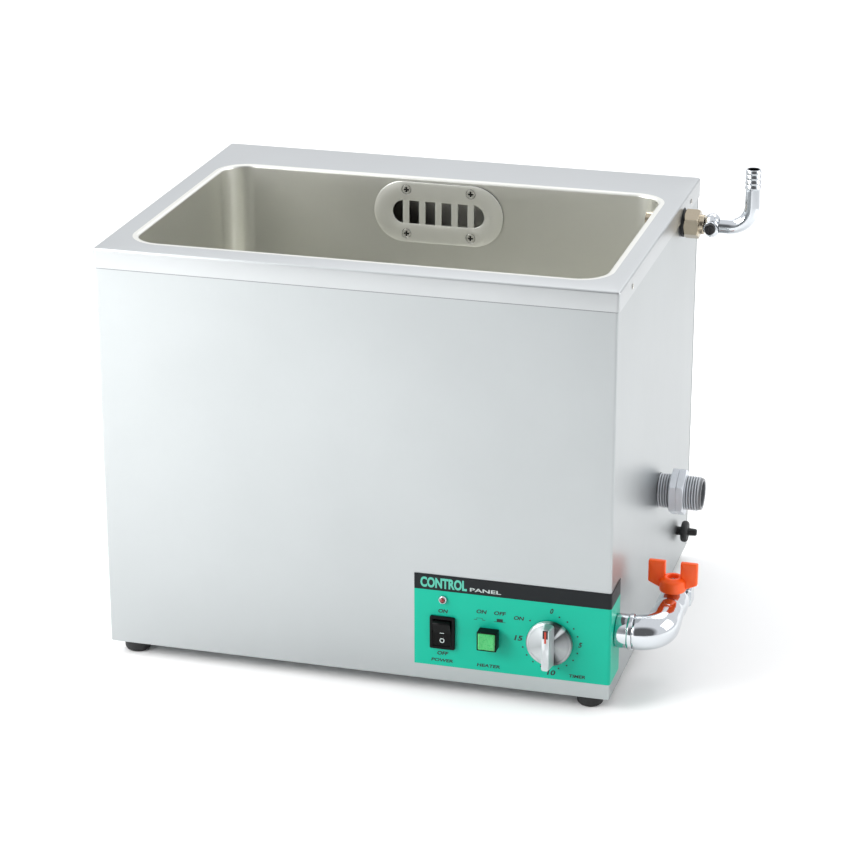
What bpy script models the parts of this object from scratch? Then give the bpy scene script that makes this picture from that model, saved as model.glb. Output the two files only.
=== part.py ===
"""Bench-top ultrasonic cleaner: a folded sheet-steel casing round a welded tank.

Units are metres, +Z is up, the control panel faces -Y and the water fittings stand out at +X.
Everything is drawn in the casing's own coordinates, from the cover's front left corner at the height
of the casing's underside, and hangs from one empty that puts the world origin under the middle of
the whole object.
"""
import math

import bmesh
import bpy
from mathutils import Vector

# Casing
COVER_W = 0.500          # over the cover's skirt, X
COVER_D = 0.390          # over the cover's skirt, Y
CASE_H = 0.400           # sheet metal height, without the feet
SHEET = 0.0012
GAP = 0.0003             # left between pieces that touch
PAST = 0.002             # a cutter runs this far past the sheet that it cuts
SKIRT_H = 0.0187
PROUD = 0.0015           # the skirt stands this far outside the body
BODY_TOP = 0.394
BACK_FLANGE = 0.014
SCREW_HOLE_R = 0.0018
FAN_SLOT_CIRCLE, FAN_SLOT_PITCH, FAN_SLOT_HALF = 0.026, 0.007, 0.0018
VENT_X, VENT_W, VENT_Z, VENT_HALF = (0.290, 0.370), 0.060, (0.050, 0.062, 0.074, 0.086), 0.002
TRAY_RIM = 0.012
FLOOR_SLOTS, FLOOR_SLOT_X, FLOOR_SLOT_PITCH, FLOOR_SLOT_W = 6, 0.180, 0.016, 0.006
FLOOR_SLOT_Y = (0.290, 0.350)
FOOT_R = 0.013
FOOT_H = 0.013
FOOT_STEM_R = 0.0038
FOOT_INSET = (0.023, 0.019)
SKIRT_SCREW_Y = (0.055, 0.340)
SKIRT_SCREW_Z = 0.389
SCREW_HEAD = 0.0011      # how far a skirt screw's head stands out
SCREW_HEAD_R, SCREW_R, SCREW_L = 0.0028, 0.0015, 0.007

# Tank
TANK_X = (0.026, 0.477)  # inside walls
TANK_Y = (0.0318, 0.3115)
TANK_FLOOR = 0.170
TANK_CORNER = 0.027
TANK_HEEL = 0.012        # radius between wall and floor
LIP_R = 0.0025
LIP_W = 0.006

# Overflow grille and the box behind it
GRILLE_C = (0.248, 0.3645)
GRILLE_W, GRILLE_H, GRILLE_T = 0.1345, 0.063, 0.0018
GRILLE_SLOTS_W, GRILLE_SLOTS_H = 0.096, 0.024
GRILLE_BARS, GRILLE_BAR_W, GRILLE_PITCH = 5, 0.0068, 0.0169
GRILLE_SCREW_DX, GRILLE_SCREW_DZ = 0.0335, 0.023
GRILLE_SCREW_HEAD_R, GRILLE_SCREW_R, GRILLE_SCREW_L = 0.0048, 0.0020, 0.010
WINDOW_MARGIN = 0.004    # the tank's window is this much larger all round than the slots
BOX_X, BOX_Z, BOX_DEPTH = (0.178, 0.318), (0.322, 0.393), 0.038
BOX_OUTLET = (0.295, 0.332)
HOSE_R, HOSE_BORE = 0.0125, 0.0095

# Overflow outlet through the right wall
OUTLET_Y, OUTLET_Z = 0.225, 0.125
OUTLET_R, OUTLET_BORE, OUTLET_HEX_AF = 0.0172, 0.0128, 0.042
OUTLET_X = (0.470, 0.542)
LOCKNUT_X, COLLAR_X = (0.5115, 0.5180), (0.5183, 0.5250)

# Cord gland
GLAND_Y, GLAND_Z = 0.332, 0.038
GLAND_HOLE_R, GLAND_NECK_R, GLAND_FLANGE_R, GLAND_NOSE_R = 0.0048, 0.0044, 0.0110, 0.0038
CORD_HOLE_R = 0.0026

# Water inlet at the right wall
INLET_Y, INLET_Z = 0.302, 0.3775
GASKET_R = 0.0145
GASKET_T = 0.0030
SPIGOT_R, SPIGOT_BORE = 0.0080, 0.0055
SPIGOT_X = (0.4625, 0.5145)
SPIGOT_ROOM = 0.0006     # the spigot passes through the sheets with this much room
ADAPTER_AF, ADAPTER_END, ADAPTER_NECK_R = 0.0258, 0.5165, 0.0098
COCK_X, COCK_R = 0.5285, 0.0120
COCK_HALF = 0.0072
COCK_BOSS_R, COCK_PLUG_R, COCK_PLUG_HEAD_R = 0.0064, 0.0031, 0.0054
PIPE_R, PIPE_BORE, PIPE_BEND = 0.0074, 0.0058, 0.022
PIPE_X, PIPE_TOP = 0.5670, 0.437
BARB_R, BARBS, BARB_PITCH = 0.0079, 4, 0.0050

# Drain at the right wall, near the front
DRAIN_Y, DRAIN_Z = 0.028, 0.0605
DRAIN_X = 0.538          # the valve's axis runs back along Y from here
DRAIN_PIPE_R, DRAIN_BORE = 0.0090, 0.0070
DRAIN_COLLAR_STEP, DRAIN_COLLAR_END = 0.5110, 0.5155
ELBOW_R, ELBOW_END = 0.0167, 0.062
STEM_Y = 0.097
VALVE_END = 0.134
VALVE_R, VALVE_WAIST_R, VALVE_TAIL_R, VALVE_BORE = 0.0150, 0.0138, 0.0130, 0.0080
VALVE_HEX_AF, VALVE_HEX_L = 0.0285, 0.016
VALVE_NECK_R = 0.0066
BALL_R = 0.0110
STEM_R = 0.0030
HUB_R, HUB_Z = 0.0128, (0.0765, 0.0905)
HUB_CUP_R, HUB_CUP = 0.0056, 0.0060
WING_SPAN, WING_T, WING_IN = 0.0475, 0.0060, 0.0072
WING_TOP, WING_LOW = 0.1058, 0.0840

# Control panel on the front
LABEL_X, LABEL_Z, LABEL_SIDE, LABEL_T = 0.310, (0.0152, 0.1081), 0.040, 0.0005
ROCKER_X, ROCKER_Z = 0.3378, 0.0503
BEZEL_W, BEZEL_H, BEZEL_T = 0.0245, 0.0333, 0.0026
BEZEL_BARREL = (0.0214, 0.0298)
ROCKER_W, ROCKER_HALF, ROCKER_LEAN = 0.0174, 0.0122, math.radians(12)
ROCKER_PIN_R, ROCKER_PIN_HALF = 0.0012, 0.0098
LAMP_X, LAMP_Z = 0.338, 0.0838
LAMP_BEZEL_R, LAMP_LENS_R, LAMP_BARREL_R = 0.0042, 0.0024, 0.0033
HEATER_X, HEATER_Z, HEATER_W, HEATER_OUT = 0.383, 0.0503, 0.0190, 0.0110
HEATER_RIM, HEATER_BARREL, HEATER_STEM = 0.0011, 0.0080, 0.0058
TIMER_X, TIMER_Z = 0.4415, 0.0530
TIMER_BUSH_R, TIMER_SHAFT_R, TIMER_BODY_HALF, TIMER_BODY_T = 0.0046, 0.0030, 0.021, 0.030
# Half sizes of the openings in the front wall; the film's openings are a little larger.
ROCKER_HOLE, HEATER_HOLE, LAMP_HOLE_R, TIMER_HOLE_R = (0.0110, 0.0152), 0.0083, 0.0036, 0.0050
LABEL_ROOM = 0.0002
KNOB_R, KNOB_DISC, KNOB_FRONT = 0.0218, 0.0060, -0.0200
GRIP_ROOT, GRIP_TOP, GRIP_HALF_L = 0.0058, 0.0036, 0.0210

# Inside
SOUNDER_X, SOUNDER_Y = (0.095, 0.215, 0.335), (0.105, 0.215)
HEATER_MAT_T, HEATER_MAT_Y, HEATER_MAT_Z = 0.0020, (0.090, 0.250), (0.195, 0.265)
THERMOSTAT_AT = (0.300, 0.220)
FAN_X, FAN_Z, FAN_SIZE, FAN_T = 0.110, 0.070, 0.060, 0.015
FAN_BORE, FAN_MOTOR_R, FAN_ARM_HALF = 0.0275, 0.0100, 0.0015
ROTOR_R, BLADES, BLADE_TIP_R = 0.0110, 5, 0.0255
BOARD_X, BOARD_Y, BOARD_Z, BOARD_T = (0.150, 0.330), (0.110, 0.230), 0.018, 0.0016
SINK_X, SINK_Y, SINK_FLOOR, SINK_TOP = (0.060, 0.136), (0.150, 0.250), 0.008, 0.052
SINK_SLOTS, SINK_PITCH, SINK_SLOT_W = 8, 0.0095, 0.0065

BODY_X = (PROUD, COVER_W - PROUD)
BODY_Y = (PROUD, COVER_D - PROUD)
WALL_RIGHT = BODY_X[1]
LABEL_FRONT = BODY_Y[0] - GAP - LABEL_T
PANEL_SEAT = LABEL_FRONT - GAP            # where the switches rest on the label

# The world origin is under the middle of the object's box.
ORIGIN_SHIFT = Vector((
    -(PIPE_X + BARB_R - SCREW_HEAD) / 2,
    -(COVER_D + KNOB_FRONT) / 2,
    FOOT_H,
))

for old in list(bpy.data.objects):
    bpy.data.objects.remove(old, do_unlink=True)

root = bpy.data.objects.new("casing_frame", None)
root.location = ORIGIN_SHIFT
bpy.context.scene.collection.objects.link(root)


# Materials ---------------------------------------------------------------------------------------

def linear(hex_colour):
    """sRGB hex to linear RGBA."""
    parts = [int(hex_colour[i:i + 2], 16) / 255 for i in (0, 2, 4)]
    return [c / 12.92 if c <= 0.04045 else ((c + 0.055) / 1.055) ** 2.4 for c in parts] + [1.0]


def material(name, hex_colour, roughness, metallic=0.0):
    made = bpy.data.materials.new(name)
    made.use_nodes = True
    shader = made.node_tree.nodes["Principled BSDF"]
    shader.inputs["Base Color"].default_value = linear(hex_colour)
    shader.inputs["Roughness"].default_value = roughness
    shader.inputs["Metallic"].default_value = metallic
    return made


BRUSHED = material("brushed_stainless", "C9CCCB", 0.32, 1.0)
TANK_STEEL = material("tank_stainless", "B4B3AC", 0.30, 1.0)
CHROME = material("chrome_plate", "DADDE0", 0.08, 1.0)
NICKEL = material("nickel_brass", "B5A98F", 0.25, 1.0)
ALUMINIUM = material("turned_aluminium", "C6C8C8", 0.28, 1.0)
GALVANISED = material("galvanised_sheet", "A9ADAD", 0.45, 1.0)
GREY_PVC = material("grey_pvc", "8A97A0", 0.42)
BLACK_RUBBER = material("black_rubber", "1B1C1D", 0.70)
BLACK_PLASTIC = material("black_plastic", "18191A", 0.35)
LABEL_FILM = material("green_label_film", "3AB9A1", 0.40)
GREEN_BUTTON = material("green_button", "8FDDA0", 0.30)
ORANGE_NYLON = material("orange_nylon", "E8471C", 0.40)
RED_LENS = material("red_lens", "B3131B", 0.15)
CIRCUIT_BOARD = material("circuit_board", "2F6B3C", 0.50)
SILICONE = material("orange_silicone", "B5502E", 0.60)
CERAMIC_STACK = material("transducer_metal", "9FA3A4", 0.40, 1.0)
CLEAR_HOSE = material("pvc_hose", "C9CEC8", 0.35)


# Mesh helpers ------------------------------------------------------------------------------------

def finish(name, bm, mat, location=(0, 0, 0), smooth_angle=None):
    """Turn a bmesh into an object in the casing's coordinates."""
    bmesh.ops.recalc_face_normals(bm, faces=bm.faces)
    mesh = bpy.data.meshes.new(name)
    bm.to_mesh(mesh)
    bm.free()
    if smooth_angle is not None:
        mesh.shade_smooth()
        mesh.set_sharp_from_angle(angle=math.radians(smooth_angle))
    mesh.materials.append(mat)
    made = bpy.data.objects.new(name, mesh)
    made.parent = root
    made.location = location
    bpy.context.scene.collection.objects.link(made)
    return made


def skin(bm, rings, wrap=False):
    """Join rings of equal length into a surface; a ring of one vertex is a pole."""
    made = [[bm.verts.new(p) for p in ring] for ring in rings]
    pairs = list(zip(made, made[1:]))
    if wrap:
        pairs.append((made[-1], made[0]))
    for low, high in pairs:
        count = max(len(low), len(high))
        for i in range(count):
            j = (i + 1) % count
            corners = [low[i % len(low)], low[j % len(low)], high[j % len(high)], high[i % len(high)]]
            unique = list(dict.fromkeys(corners))
            if len(unique) > 2:
                bm.faces.new(unique)
    return made


def capped(rings):
    """A closed body through a run of rings, with a flat face on its first and last ring."""
    bm = bmesh.new()
    made = skin(bm, rings)
    for ring in (made[0], made[-1]):
        if len(ring) > 2:
            bm.faces.new(ring)
    return bm


def along(axis, across, up, depth):
    """A point given by two coordinates across an axis and one along it."""
    if axis == "X":
        return (depth, across, up)
    if axis == "Y":
        return (across, depth, up)
    return (across, up, depth)


def circle(radius, depth, axis="Z", sides=24, centre=(0, 0), phase=0.0):
    if radius == 0:
        return [along(axis, centre[0], centre[1], depth)]
    steps = (phase + 2 * math.pi * i / sides for i in range(sides))
    return [along(axis, centre[0] + radius * math.cos(a), centre[1] + radius * math.sin(a), depth)
            for a in steps]


def turned(name, profile, mat, location, axis="Z", sides=24, hollow=False):
    """Revolve (radius, depth) points; a hollow profile runs out along the outside and back inside."""
    rings = [circle(r, d, axis, sides) for r, d in profile]
    bm = bmesh.new()
    if hollow:
        skin(bm, rings, wrap=True)
    else:
        bm.free()
        bm = capped(rings)
    return finish(name, bm, mat, location, 35)


def rounded_rect(x_range, y_range, radius, depth, axis="Z", steps=5):
    """A rectangle with round corners, as one ring."""
    points = []
    corners = ((x_range[1], y_range[1], 0), (x_range[0], y_range[1], 90),
               (x_range[0], y_range[0], 180), (x_range[1], y_range[0], 270))
    for x, y, start in corners:
        cx = x - math.copysign(radius, x - sum(x_range) / 2)
        cy = y - math.copysign(radius, y - sum(y_range) / 2)
        for i in range(steps + 1):
            a = math.radians(start + 90 * i / steps)
            points.append(along(axis, cx + radius * math.cos(a), cy + radius * math.sin(a), depth))
    return points


def prism(outline, low, high, axis="Z"):
    """A closed outline of (across, up) points pushed along an axis."""
    return capped([[along(axis, a, b, d) for a, b in outline] for d in (low, high)])


def block(x, y, z):
    """A box from its ranges."""
    return prism([(x[0], y[0]), (x[1], y[0]), (x[1], y[1]), (x[0], y[1])], z[0], z[1])


def hexagon(across_flats):
    """A hexagon with a corner at the top."""
    radius = across_flats / math.sqrt(3)
    return [(radius * math.cos(a), radius * math.sin(a)) for a in (math.radians(30 + 60 * i) for i in range(6))]


def spread(values, margin):
    """A range made wider by a margin at each end."""
    return (values[0] - margin, values[1] + margin)


def about(centre, half):
    """A range of two half widths round a centre."""
    return (centre - half, centre + half)


def smooth_path(points, per_span):
    """A Catmull-Rom curve through hand-chosen points."""
    pts = [Vector(p) for p in points]
    pts = [2 * pts[0] - pts[1]] + pts + [2 * pts[-1] - pts[-2]]
    out = []
    for a, b, c, d in zip(pts, pts[1:], pts[2:], pts[3:]):
        for i in range(per_span):
            t = i / per_span
            out.append(0.5 * (2 * b + (c - a) * t + (2 * a - 5 * b + 4 * c - d) * t ** 2
                              + (3 * b - a - 3 * c + d) * t ** 3))
    return out + [pts[-2]]


def tube(path, radii, bore, sides=16):
    """A hollow tube along a path, with its outer radius given at each point."""
    normal = (path[1] - path[0]).orthogonal().normalized()
    outer, inner = [], []
    steps = [(b - a).normalized() for a, b in zip(path, path[1:])]
    for i, p in enumerate(path):
        ahead = (steps[max(i - 1, 0)] + steps[min(i, len(steps) - 1)]).normalized()
        normal = (normal - ahead * normal.dot(ahead)).normalized()
        side = ahead.cross(normal)
        spokes = [normal * math.cos(a) + side * math.sin(a)
                  for a in (2 * math.pi * k / sides for k in range(sides))]
        outer.append([p + s * radii[i] for s in spokes])
        inner.append([p + s * bore for s in spokes])
    bm = bmesh.new()
    skin(bm, outer + inner[::-1], wrap=True)
    return bm


def cutter(bm, location=(0, 0, 0)):
    made = finish("cutter", bm, BRUSHED, location)
    made.hide_render = True
    made.display_type = "WIRE"
    return made


def boolean(target, tool, operation="DIFFERENCE"):
    """Apply a Boolean with one tool object, which is then removed."""
    step = target.modifiers.new("cut", "BOOLEAN")
    step.operation = operation
    step.solver = "EXACT"
    step.object = tool
    bpy.context.view_layer.update()
    graph = bpy.context.evaluated_depsgraph_get()
    mesh = bpy.data.meshes.new_from_object(target.evaluated_get(graph))
    mesh.materials.clear()
    mesh.materials.append(target.data.materials[0])
    target.modifiers.clear()
    target.data = mesh
    bpy.data.objects.remove(tool, do_unlink=True)


def cut(target, *shapes):
    for bm in shapes:
        boolean(target, cutter(bm))


def join(target, *shapes):
    for bm in shapes:
        boolean(target, cutter(bm), "UNION")


def rod(radius, low, high, axis, centre, sides=24):
    """A plain cylinder along an axis, centred at (across, up)."""
    return capped([circle(radius, d, axis, sides, centre) for d in (low, high)])


# Casing ------------------------------------------------------------------------------------------

def make_casing():
    """Front, left and right walls folded from one sheet, with flanges turned in at the back."""
    x0, x1 = BODY_X
    y0, y1 = BODY_Y[0], BODY_Y[1] - SHEET - 2 * GAP
    t = SHEET
    outline = [(x0, y0), (x1, y0), (x1, y1), (x1 - BACK_FLANGE, y1), (x1 - BACK_FLANGE, y1 - t),
               (x1 - t, y1 - t), (x1 - t, y0 + t), (x0 + t, y0 + t), (x0 + t, y1 - t),
               (x0 + BACK_FLANGE, y1 - t), (x0 + BACK_FLANGE, y1), (x0, y1)]
    casing = finish("casing", prism(outline, 0, BODY_TOP), BRUSHED)
    front = spread((y0, y0 + t), PAST)
    side = spread((x1 - t, x1), PAST)
    cut(casing,
        block(about(ROCKER_X, ROCKER_HOLE[0]), front, about(ROCKER_Z, ROCKER_HOLE[1])),
        block(about(HEATER_X, HEATER_HOLE), front, about(HEATER_Z, HEATER_HOLE)),
        rod(LAMP_HOLE_R, *front, "Y", (LAMP_X, LAMP_Z), 16),
        rod(TIMER_HOLE_R, *front, "Y", (TIMER_X, TIMER_Z), 20),
        rod(DRAIN_PIPE_R + 2 * GAP, *side, "X", (DRAIN_Y, DRAIN_Z)),
        rod(OUTLET_R + GAP, *side, "X", (OUTLET_Y, OUTLET_Z), 28),
        rod(GLAND_HOLE_R, *side, "X", (GLAND_Y, GLAND_Z), 16),
        rod(SPIGOT_R + SPIGOT_ROOM, *side, "X", (INLET_Y, INLET_Z), 20),
        *(rod(SCREW_HOLE_R, *wall, "X", (y, SKIRT_SCREW_Z), 10)
          for wall in (side, spread((x0, x0 + t), PAST)) for y in SKIRT_SCREW_Y))


def make_back_panel():
    """A flat sheet with a ring of slots in front of the fan and vents near the top."""
    y = (BODY_Y[1] - SHEET - GAP, BODY_Y[1] - GAP)
    panel = finish("back_panel", block(BODY_X, y, (0, BODY_TOP)), BRUSHED)
    through = spread(y, PAST)
    slots = []
    for i in range(-3, 4):
        rise = FAN_SLOT_PITCH * i
        half = math.sqrt(FAN_SLOT_CIRCLE ** 2 - rise ** 2)
        slots.append(block(about(FAN_X, half), through, about(FAN_Z + rise, FAN_SLOT_HALF)))
    vents = [block((x, x + VENT_W), through, about(z, VENT_HALF)) for x in VENT_X for z in VENT_Z]
    cut(panel, *slots, *vents)


def tray(x, y, low, rim, thickness, axis="Z", radius=0.001, steps=1):
    """An open tray of sheet: the floor is at `low` and the rim is at `rim`."""
    step = math.copysign(thickness, rim - low)
    inner_x, inner_y = spread(x, -thickness), spread(y, -thickness)
    return capped([
        rounded_rect(x, y, radius, low, axis, steps),
        rounded_rect(x, y, radius, rim, axis, steps),
        rounded_rect(inner_x, inner_y, radius / 2, rim, axis, steps),
        rounded_rect(inner_x, inner_y, radius / 2, low + step, axis, steps),
    ])


def foot_places():
    for name, x in (("left", FOOT_INSET[0]), ("right", COVER_W - FOOT_INSET[0])):
        for end, y in (("front", FOOT_INSET[1]), ("rear", COVER_D - FOOT_INSET[1])):
            yield f"foot_{end}_{name}", x, y


def make_base_plate():
    x = spread(BODY_X, -SHEET - GAP)
    y = (BODY_Y[0] + SHEET + GAP, BODY_Y[1] - 2 * SHEET - 3 * GAP)
    plate = finish("base_plate", tray(x, y, 0, TRAY_RIM, SHEET), GALVANISED)
    floor = spread((0, SHEET), PAST)
    cut(plate, *(rod(FOOT_STEM_R + GAP, *floor, "Z", (fx, fy), 12) for _, fx, fy in foot_places()))
    cut(plate, *(block((sx, sx + FLOOR_SLOT_W), FLOOR_SLOT_Y, floor)
                 for sx in (FLOOR_SLOT_X + FLOOR_SLOT_PITCH * i for i in range(FLOOR_SLOTS))))


def make_feet():
    """Push-in rubber feet, each with a stem through the base plate."""
    stem_top = SHEET + 0.003
    profile = [(0, -FOOT_H), (FOOT_R - 0.0025, -FOOT_H), (FOOT_R - 0.0012, -FOOT_H + 0.0012),
               (FOOT_R, -0.004), (FOOT_R - 0.0008, -GAP), (FOOT_STEM_R, -GAP), (FOOT_STEM_R, stem_top),
               (0, stem_top)]
    for name, x, y in foot_places():
        turned(name, profile, BLACK_RUBBER, (x, y, 0), sides=16)


def make_top_cover():
    """The lid-like top: a flat plate round the tank's lip, with a skirt folded down all round."""
    cover = finish("top_cover", tray((0, COVER_W), (0, COVER_D), CASE_H, CASE_H - SKIRT_H, SHEET), BRUSHED)
    hole = LIP_W + GAP
    opening = capped([rounded_rect(spread(TANK_X, hole), spread(TANK_Y, hole), TANK_CORNER + hole, z, "Z", 4)
                      for z in (CASE_H - 0.004, CASE_H + 0.002)])
    right = spread((COVER_W - SHEET, COVER_W), PAST / 2)
    left = spread((0, SHEET), PAST / 2)
    notch = GASKET_R + 0.0008
    cut(cover, opening,
        rod(notch, *right, "X", (INLET_Y, INLET_Z), 24),
        *(rod(SCREW_HOLE_R, *wall, "X", (y, SKIRT_SCREW_Z), 10)
          for wall in (right, left) for y in SKIRT_SCREW_Y))


def make_skirt_screws():
    """Small pan-head screws that hold the skirt to the walls."""
    profile = [(0, -SCREW_HEAD), (SCREW_HEAD_R * 0.75, -SCREW_HEAD), (SCREW_HEAD_R, -SCREW_HEAD / 2),
               (SCREW_HEAD_R, -GAP), (SCREW_R, -GAP), (SCREW_R, SCREW_L), (0, SCREW_L)]
    for side, x, way in (("left", 0, 1), ("right", COVER_W, -1)):
        for end, y in zip(("front", "rear"), SKIRT_SCREW_Y):
            run = [(r, d * way) for r, d in profile]
            turned(f"skirt_screw_{end}_{side}", run, CHROME, (x, y, SKIRT_SCREW_Z), "X", 12)


# Tank --------------------------------------------------------------------------------------------

def make_tank():
    """Welded tank with a rolled lip; rings run up the outside, over the lip and down the inside."""
    def ring(out, z):
        return rounded_rect(spread(TANK_X, out), spread(TANK_Y, out), TANK_CORNER + out, z, "Z", 4)

    def arc(radius, centre_out, centre_z, start, end, steps):
        angles = [math.radians(start + (end - start) * i / steps) for i in range(steps + 1)]
        return [(centre_out + radius * math.cos(a), centre_z + radius * math.sin(a)) for a in angles]

    t = SHEET
    outside = arc(TANK_HEEL + t, -TANK_HEEL, TANK_FLOOR + TANK_HEEL, -90, 0, 3)
    lip_under = arc(LIP_R - t, LIP_R, CASE_H - LIP_R, 180, 90, 1)
    lip_over = arc(LIP_R, LIP_R, CASE_H - LIP_R, 90, 180, 2)
    inside = arc(TANK_HEEL, -TANK_HEEL, TANK_FLOOR + TANK_HEEL, 0, -90, 3)
    section = outside + lip_under + [(LIP_W, CASE_H - t), (LIP_W, CASE_H)] + lip_over + inside
    tank = finish("tank", capped([ring(out, z) for out, z in section]), TANK_STEEL)
    back = spread((TANK_Y[1], TANK_Y[1] + t), 2 * PAST)
    cut(tank,
        block(about(GRILLE_C[0], GRILLE_SLOTS_W / 2 + WINDOW_MARGIN), back,
              about(GRILLE_C[1], GRILLE_SLOTS_H / 2 + WINDOW_MARGIN)),
        *(rod(GRILLE_SCREW_R + GAP, *back, "Y", place, 10) for place in grille_screw_places()),
        rod(DRAIN_BORE + 0.001, *about(TANK_FLOOR, 2 * PAST), "Z", DRAIN_ROUTE[0][:2], 20),
        rod(SPIGOT_R + SPIGOT_ROOM, TANK_X[1] - TANK_CORNER, TANK_X[1] + 3 * PAST, "X", (INLET_Y, INLET_Z), 20))


def grille_screw_places():
    for dx in (-GRILLE_SCREW_DX, GRILLE_SCREW_DX):
        for dz in (-GRILLE_SCREW_DZ, GRILLE_SCREW_DZ):
            yield GRILLE_C[0] + dx, GRILLE_C[1] + dz


def make_grille():
    """Overflow grille: a stadium plate with a stadium window crossed by upright bars."""
    y = (TANK_Y[1] - GAP - GRILLE_T, TANK_Y[1] - GAP)
    cx, cz = GRILLE_C
    plate_x, plate_z = about(cx, GRILLE_W / 2), about(cz, GRILLE_H / 2)
    slot_z = about(cz, GRILLE_SLOTS_H / 2)
    grille = finish("overflow_grille", capped([
        rounded_rect(plate_x, plate_z, GRILLE_H / 2 - 1e-5, d, "Y", 8) for d in y]), TANK_STEEL)
    through = spread(y, PAST / 2)
    half_bars = GRILLE_BARS // 2
    edges = [cx - GRILLE_SLOTS_W / 2]
    for i in range(-half_bars, half_bars + 1):
        edges += about(cx + i * GRILLE_PITCH, GRILLE_BAR_W / 2)
    edges.append(cx + GRILLE_SLOTS_W / 2)
    slots = list(zip(edges[::2], edges[1::2]))
    radius = GRILLE_SLOTS_H / 2
    for i, (low, high) in enumerate(slots):
        if i in (0, len(slots) - 1):
            way = -1 if i == 0 else 1
            flat = high if i == 0 else low
            width = high - low
            outline = [(flat + way * width * math.cos(a), cz + radius * math.sin(a))
                       for a in (math.radians(-90 + 180 * k / 8) for k in range(9))]
            cut(grille, prism(outline, *through, "Y"))
        else:
            cut(grille, block((low, high), through, slot_z))
    sink_r = GRILLE_SCREW_HEAD_R + 0.0005
    for place in grille_screw_places():
        cut(grille, capped([circle(r, d, "Y", 12, place) for r, d in (
            (sink_r, y[0] - 0.0005), (sink_r, y[0]), (sink_r * 0.68, y[1] + 0.0005))]))


def make_grille_screws():
    """Countersunk cross-head screws, flush with the plate."""
    front = TANK_Y[1] - GAP - GRILLE_T
    head, shank = GRILLE_SCREW_HEAD_R, GRILLE_SCREW_R
    profile = [(0, -0.0004), (head * 0.7, -0.0002), (head, 0), (head * 0.62, GRILLE_T), (shank, 0.0022),
               (shank, GRILLE_SCREW_L), (0, GRILLE_SCREW_L)]
    for i, (x, z) in enumerate(grille_screw_places()):
        turned(f"grille_screw_{i + 1}", profile, CHROME, (x, front, z), "Y", 12)


def make_overflow_box():
    """Folded box welded behind the grille; it gathers the overflowing water."""
    mouth = TANK_Y[1] + SHEET + GAP
    box = finish("overflow_box", tray(BOX_X, BOX_Z, mouth + BOX_DEPTH, mouth, SHEET, "Y"), TANK_STEEL)
    cut(box, rod(HOSE_BORE, BOX_Z[0] - PAST, BOX_Z[0] + 2 * PAST, "Z", BOX_OUTLET, 16))


def make_overflow_hose():
    """Flexible hose from the box round the tank's rear corner to the outlet fitting."""
    x, y = BOX_OUTLET
    route = [(x, y, BOX_Z[0] - GAP - 0.001), (x, y + 0.002, 0.285), (0.312, 0.346, 0.220),
             (0.350, 0.346, 0.165), (0.398, 0.320, 0.136), (0.424, 0.270, 0.126),
             (0.440, 0.234, OUTLET_Z), (OUTLET_X[0] - GAP - 0.004, OUTLET_Y, OUTLET_Z)]
    ends = (Vector((x, y, BOX_Z[0] - GAP)), Vector((OUTLET_X[0] - GAP, OUTLET_Y, OUTLET_Z)))
    path = [ends[0], *smooth_path(route, 2), ends[1]]
    finish("overflow_hose", tube(path, [HOSE_R] * len(path), HOSE_BORE, 8), CLEAR_HOSE, smooth_angle=40)


# Overflow outlet and gland -----------------------------------------------------------------------

def make_overflow_outlet():
    """Grey pipe fitting with an integral hexagon, and its locknut."""
    x0, x1 = OUTLET_X
    r, bore = OUTLET_R, OUTLET_BORE
    profile = [(r, x0), (r, x1 - 0.0012), (r - 0.0012, x1), (bore, x1), (bore, x0)]
    fitting = turned("overflow_fitting", profile, GREY_PVC, (0, OUTLET_Y, OUTLET_Z), "X", 28, hollow=True)
    flats = [(OUTLET_Y + a, OUTLET_Z + b) for a, b in hexagon(OUTLET_HEX_AF)]
    collar = finish("collar", prism(flats, *COLLAR_X, "X"), GREY_PVC)
    cut(collar, rod(r - 0.002, *spread(COLLAR_X, PAST), "X", (OUTLET_Y, OUTLET_Z), 28))
    boolean(fitting, collar, "UNION")
    nut = finish("overflow_locknut", prism(flats, *LOCKNUT_X, "X"), GREY_PVC)
    cut(nut, rod(r + GAP, *spread(LOCKNUT_X, PAST), "X", (OUTLET_Y, OUTLET_Z), 28))


def make_gland():
    """Rubber grommet that grips the mains cord: flange, nose and inner flange, with a cord hole."""
    inside, back, front, tip = (WALL_RIGHT + d for d in (-SHEET - GAP, 0.0045, 0.0110, 0.0200))
    inner_r, flange_r, nose_r = 0.0072, GLAND_FLANGE_R, GLAND_NOSE_R
    profile = [(CORD_HOLE_R, WALL_RIGHT - 0.008), (inner_r, WALL_RIGHT - 0.008), (inner_r, inside),
               (GLAND_NECK_R, inside), (GLAND_NECK_R, back), (flange_r - 0.0012, back),
               (flange_r, back + 0.0017), (flange_r, front - 0.0018), (flange_r - 0.0012, front),
               (nose_r, front), (nose_r, tip - 0.0015), (nose_r - 0.0007, tip), (CORD_HOLE_R, tip)]
    turned("cord_gland", profile, BLACK_RUBBER, (0, GLAND_Y, GLAND_Z), "X", 16, hollow=True)


# Inlet -------------------------------------------------------------------------------------------

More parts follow.
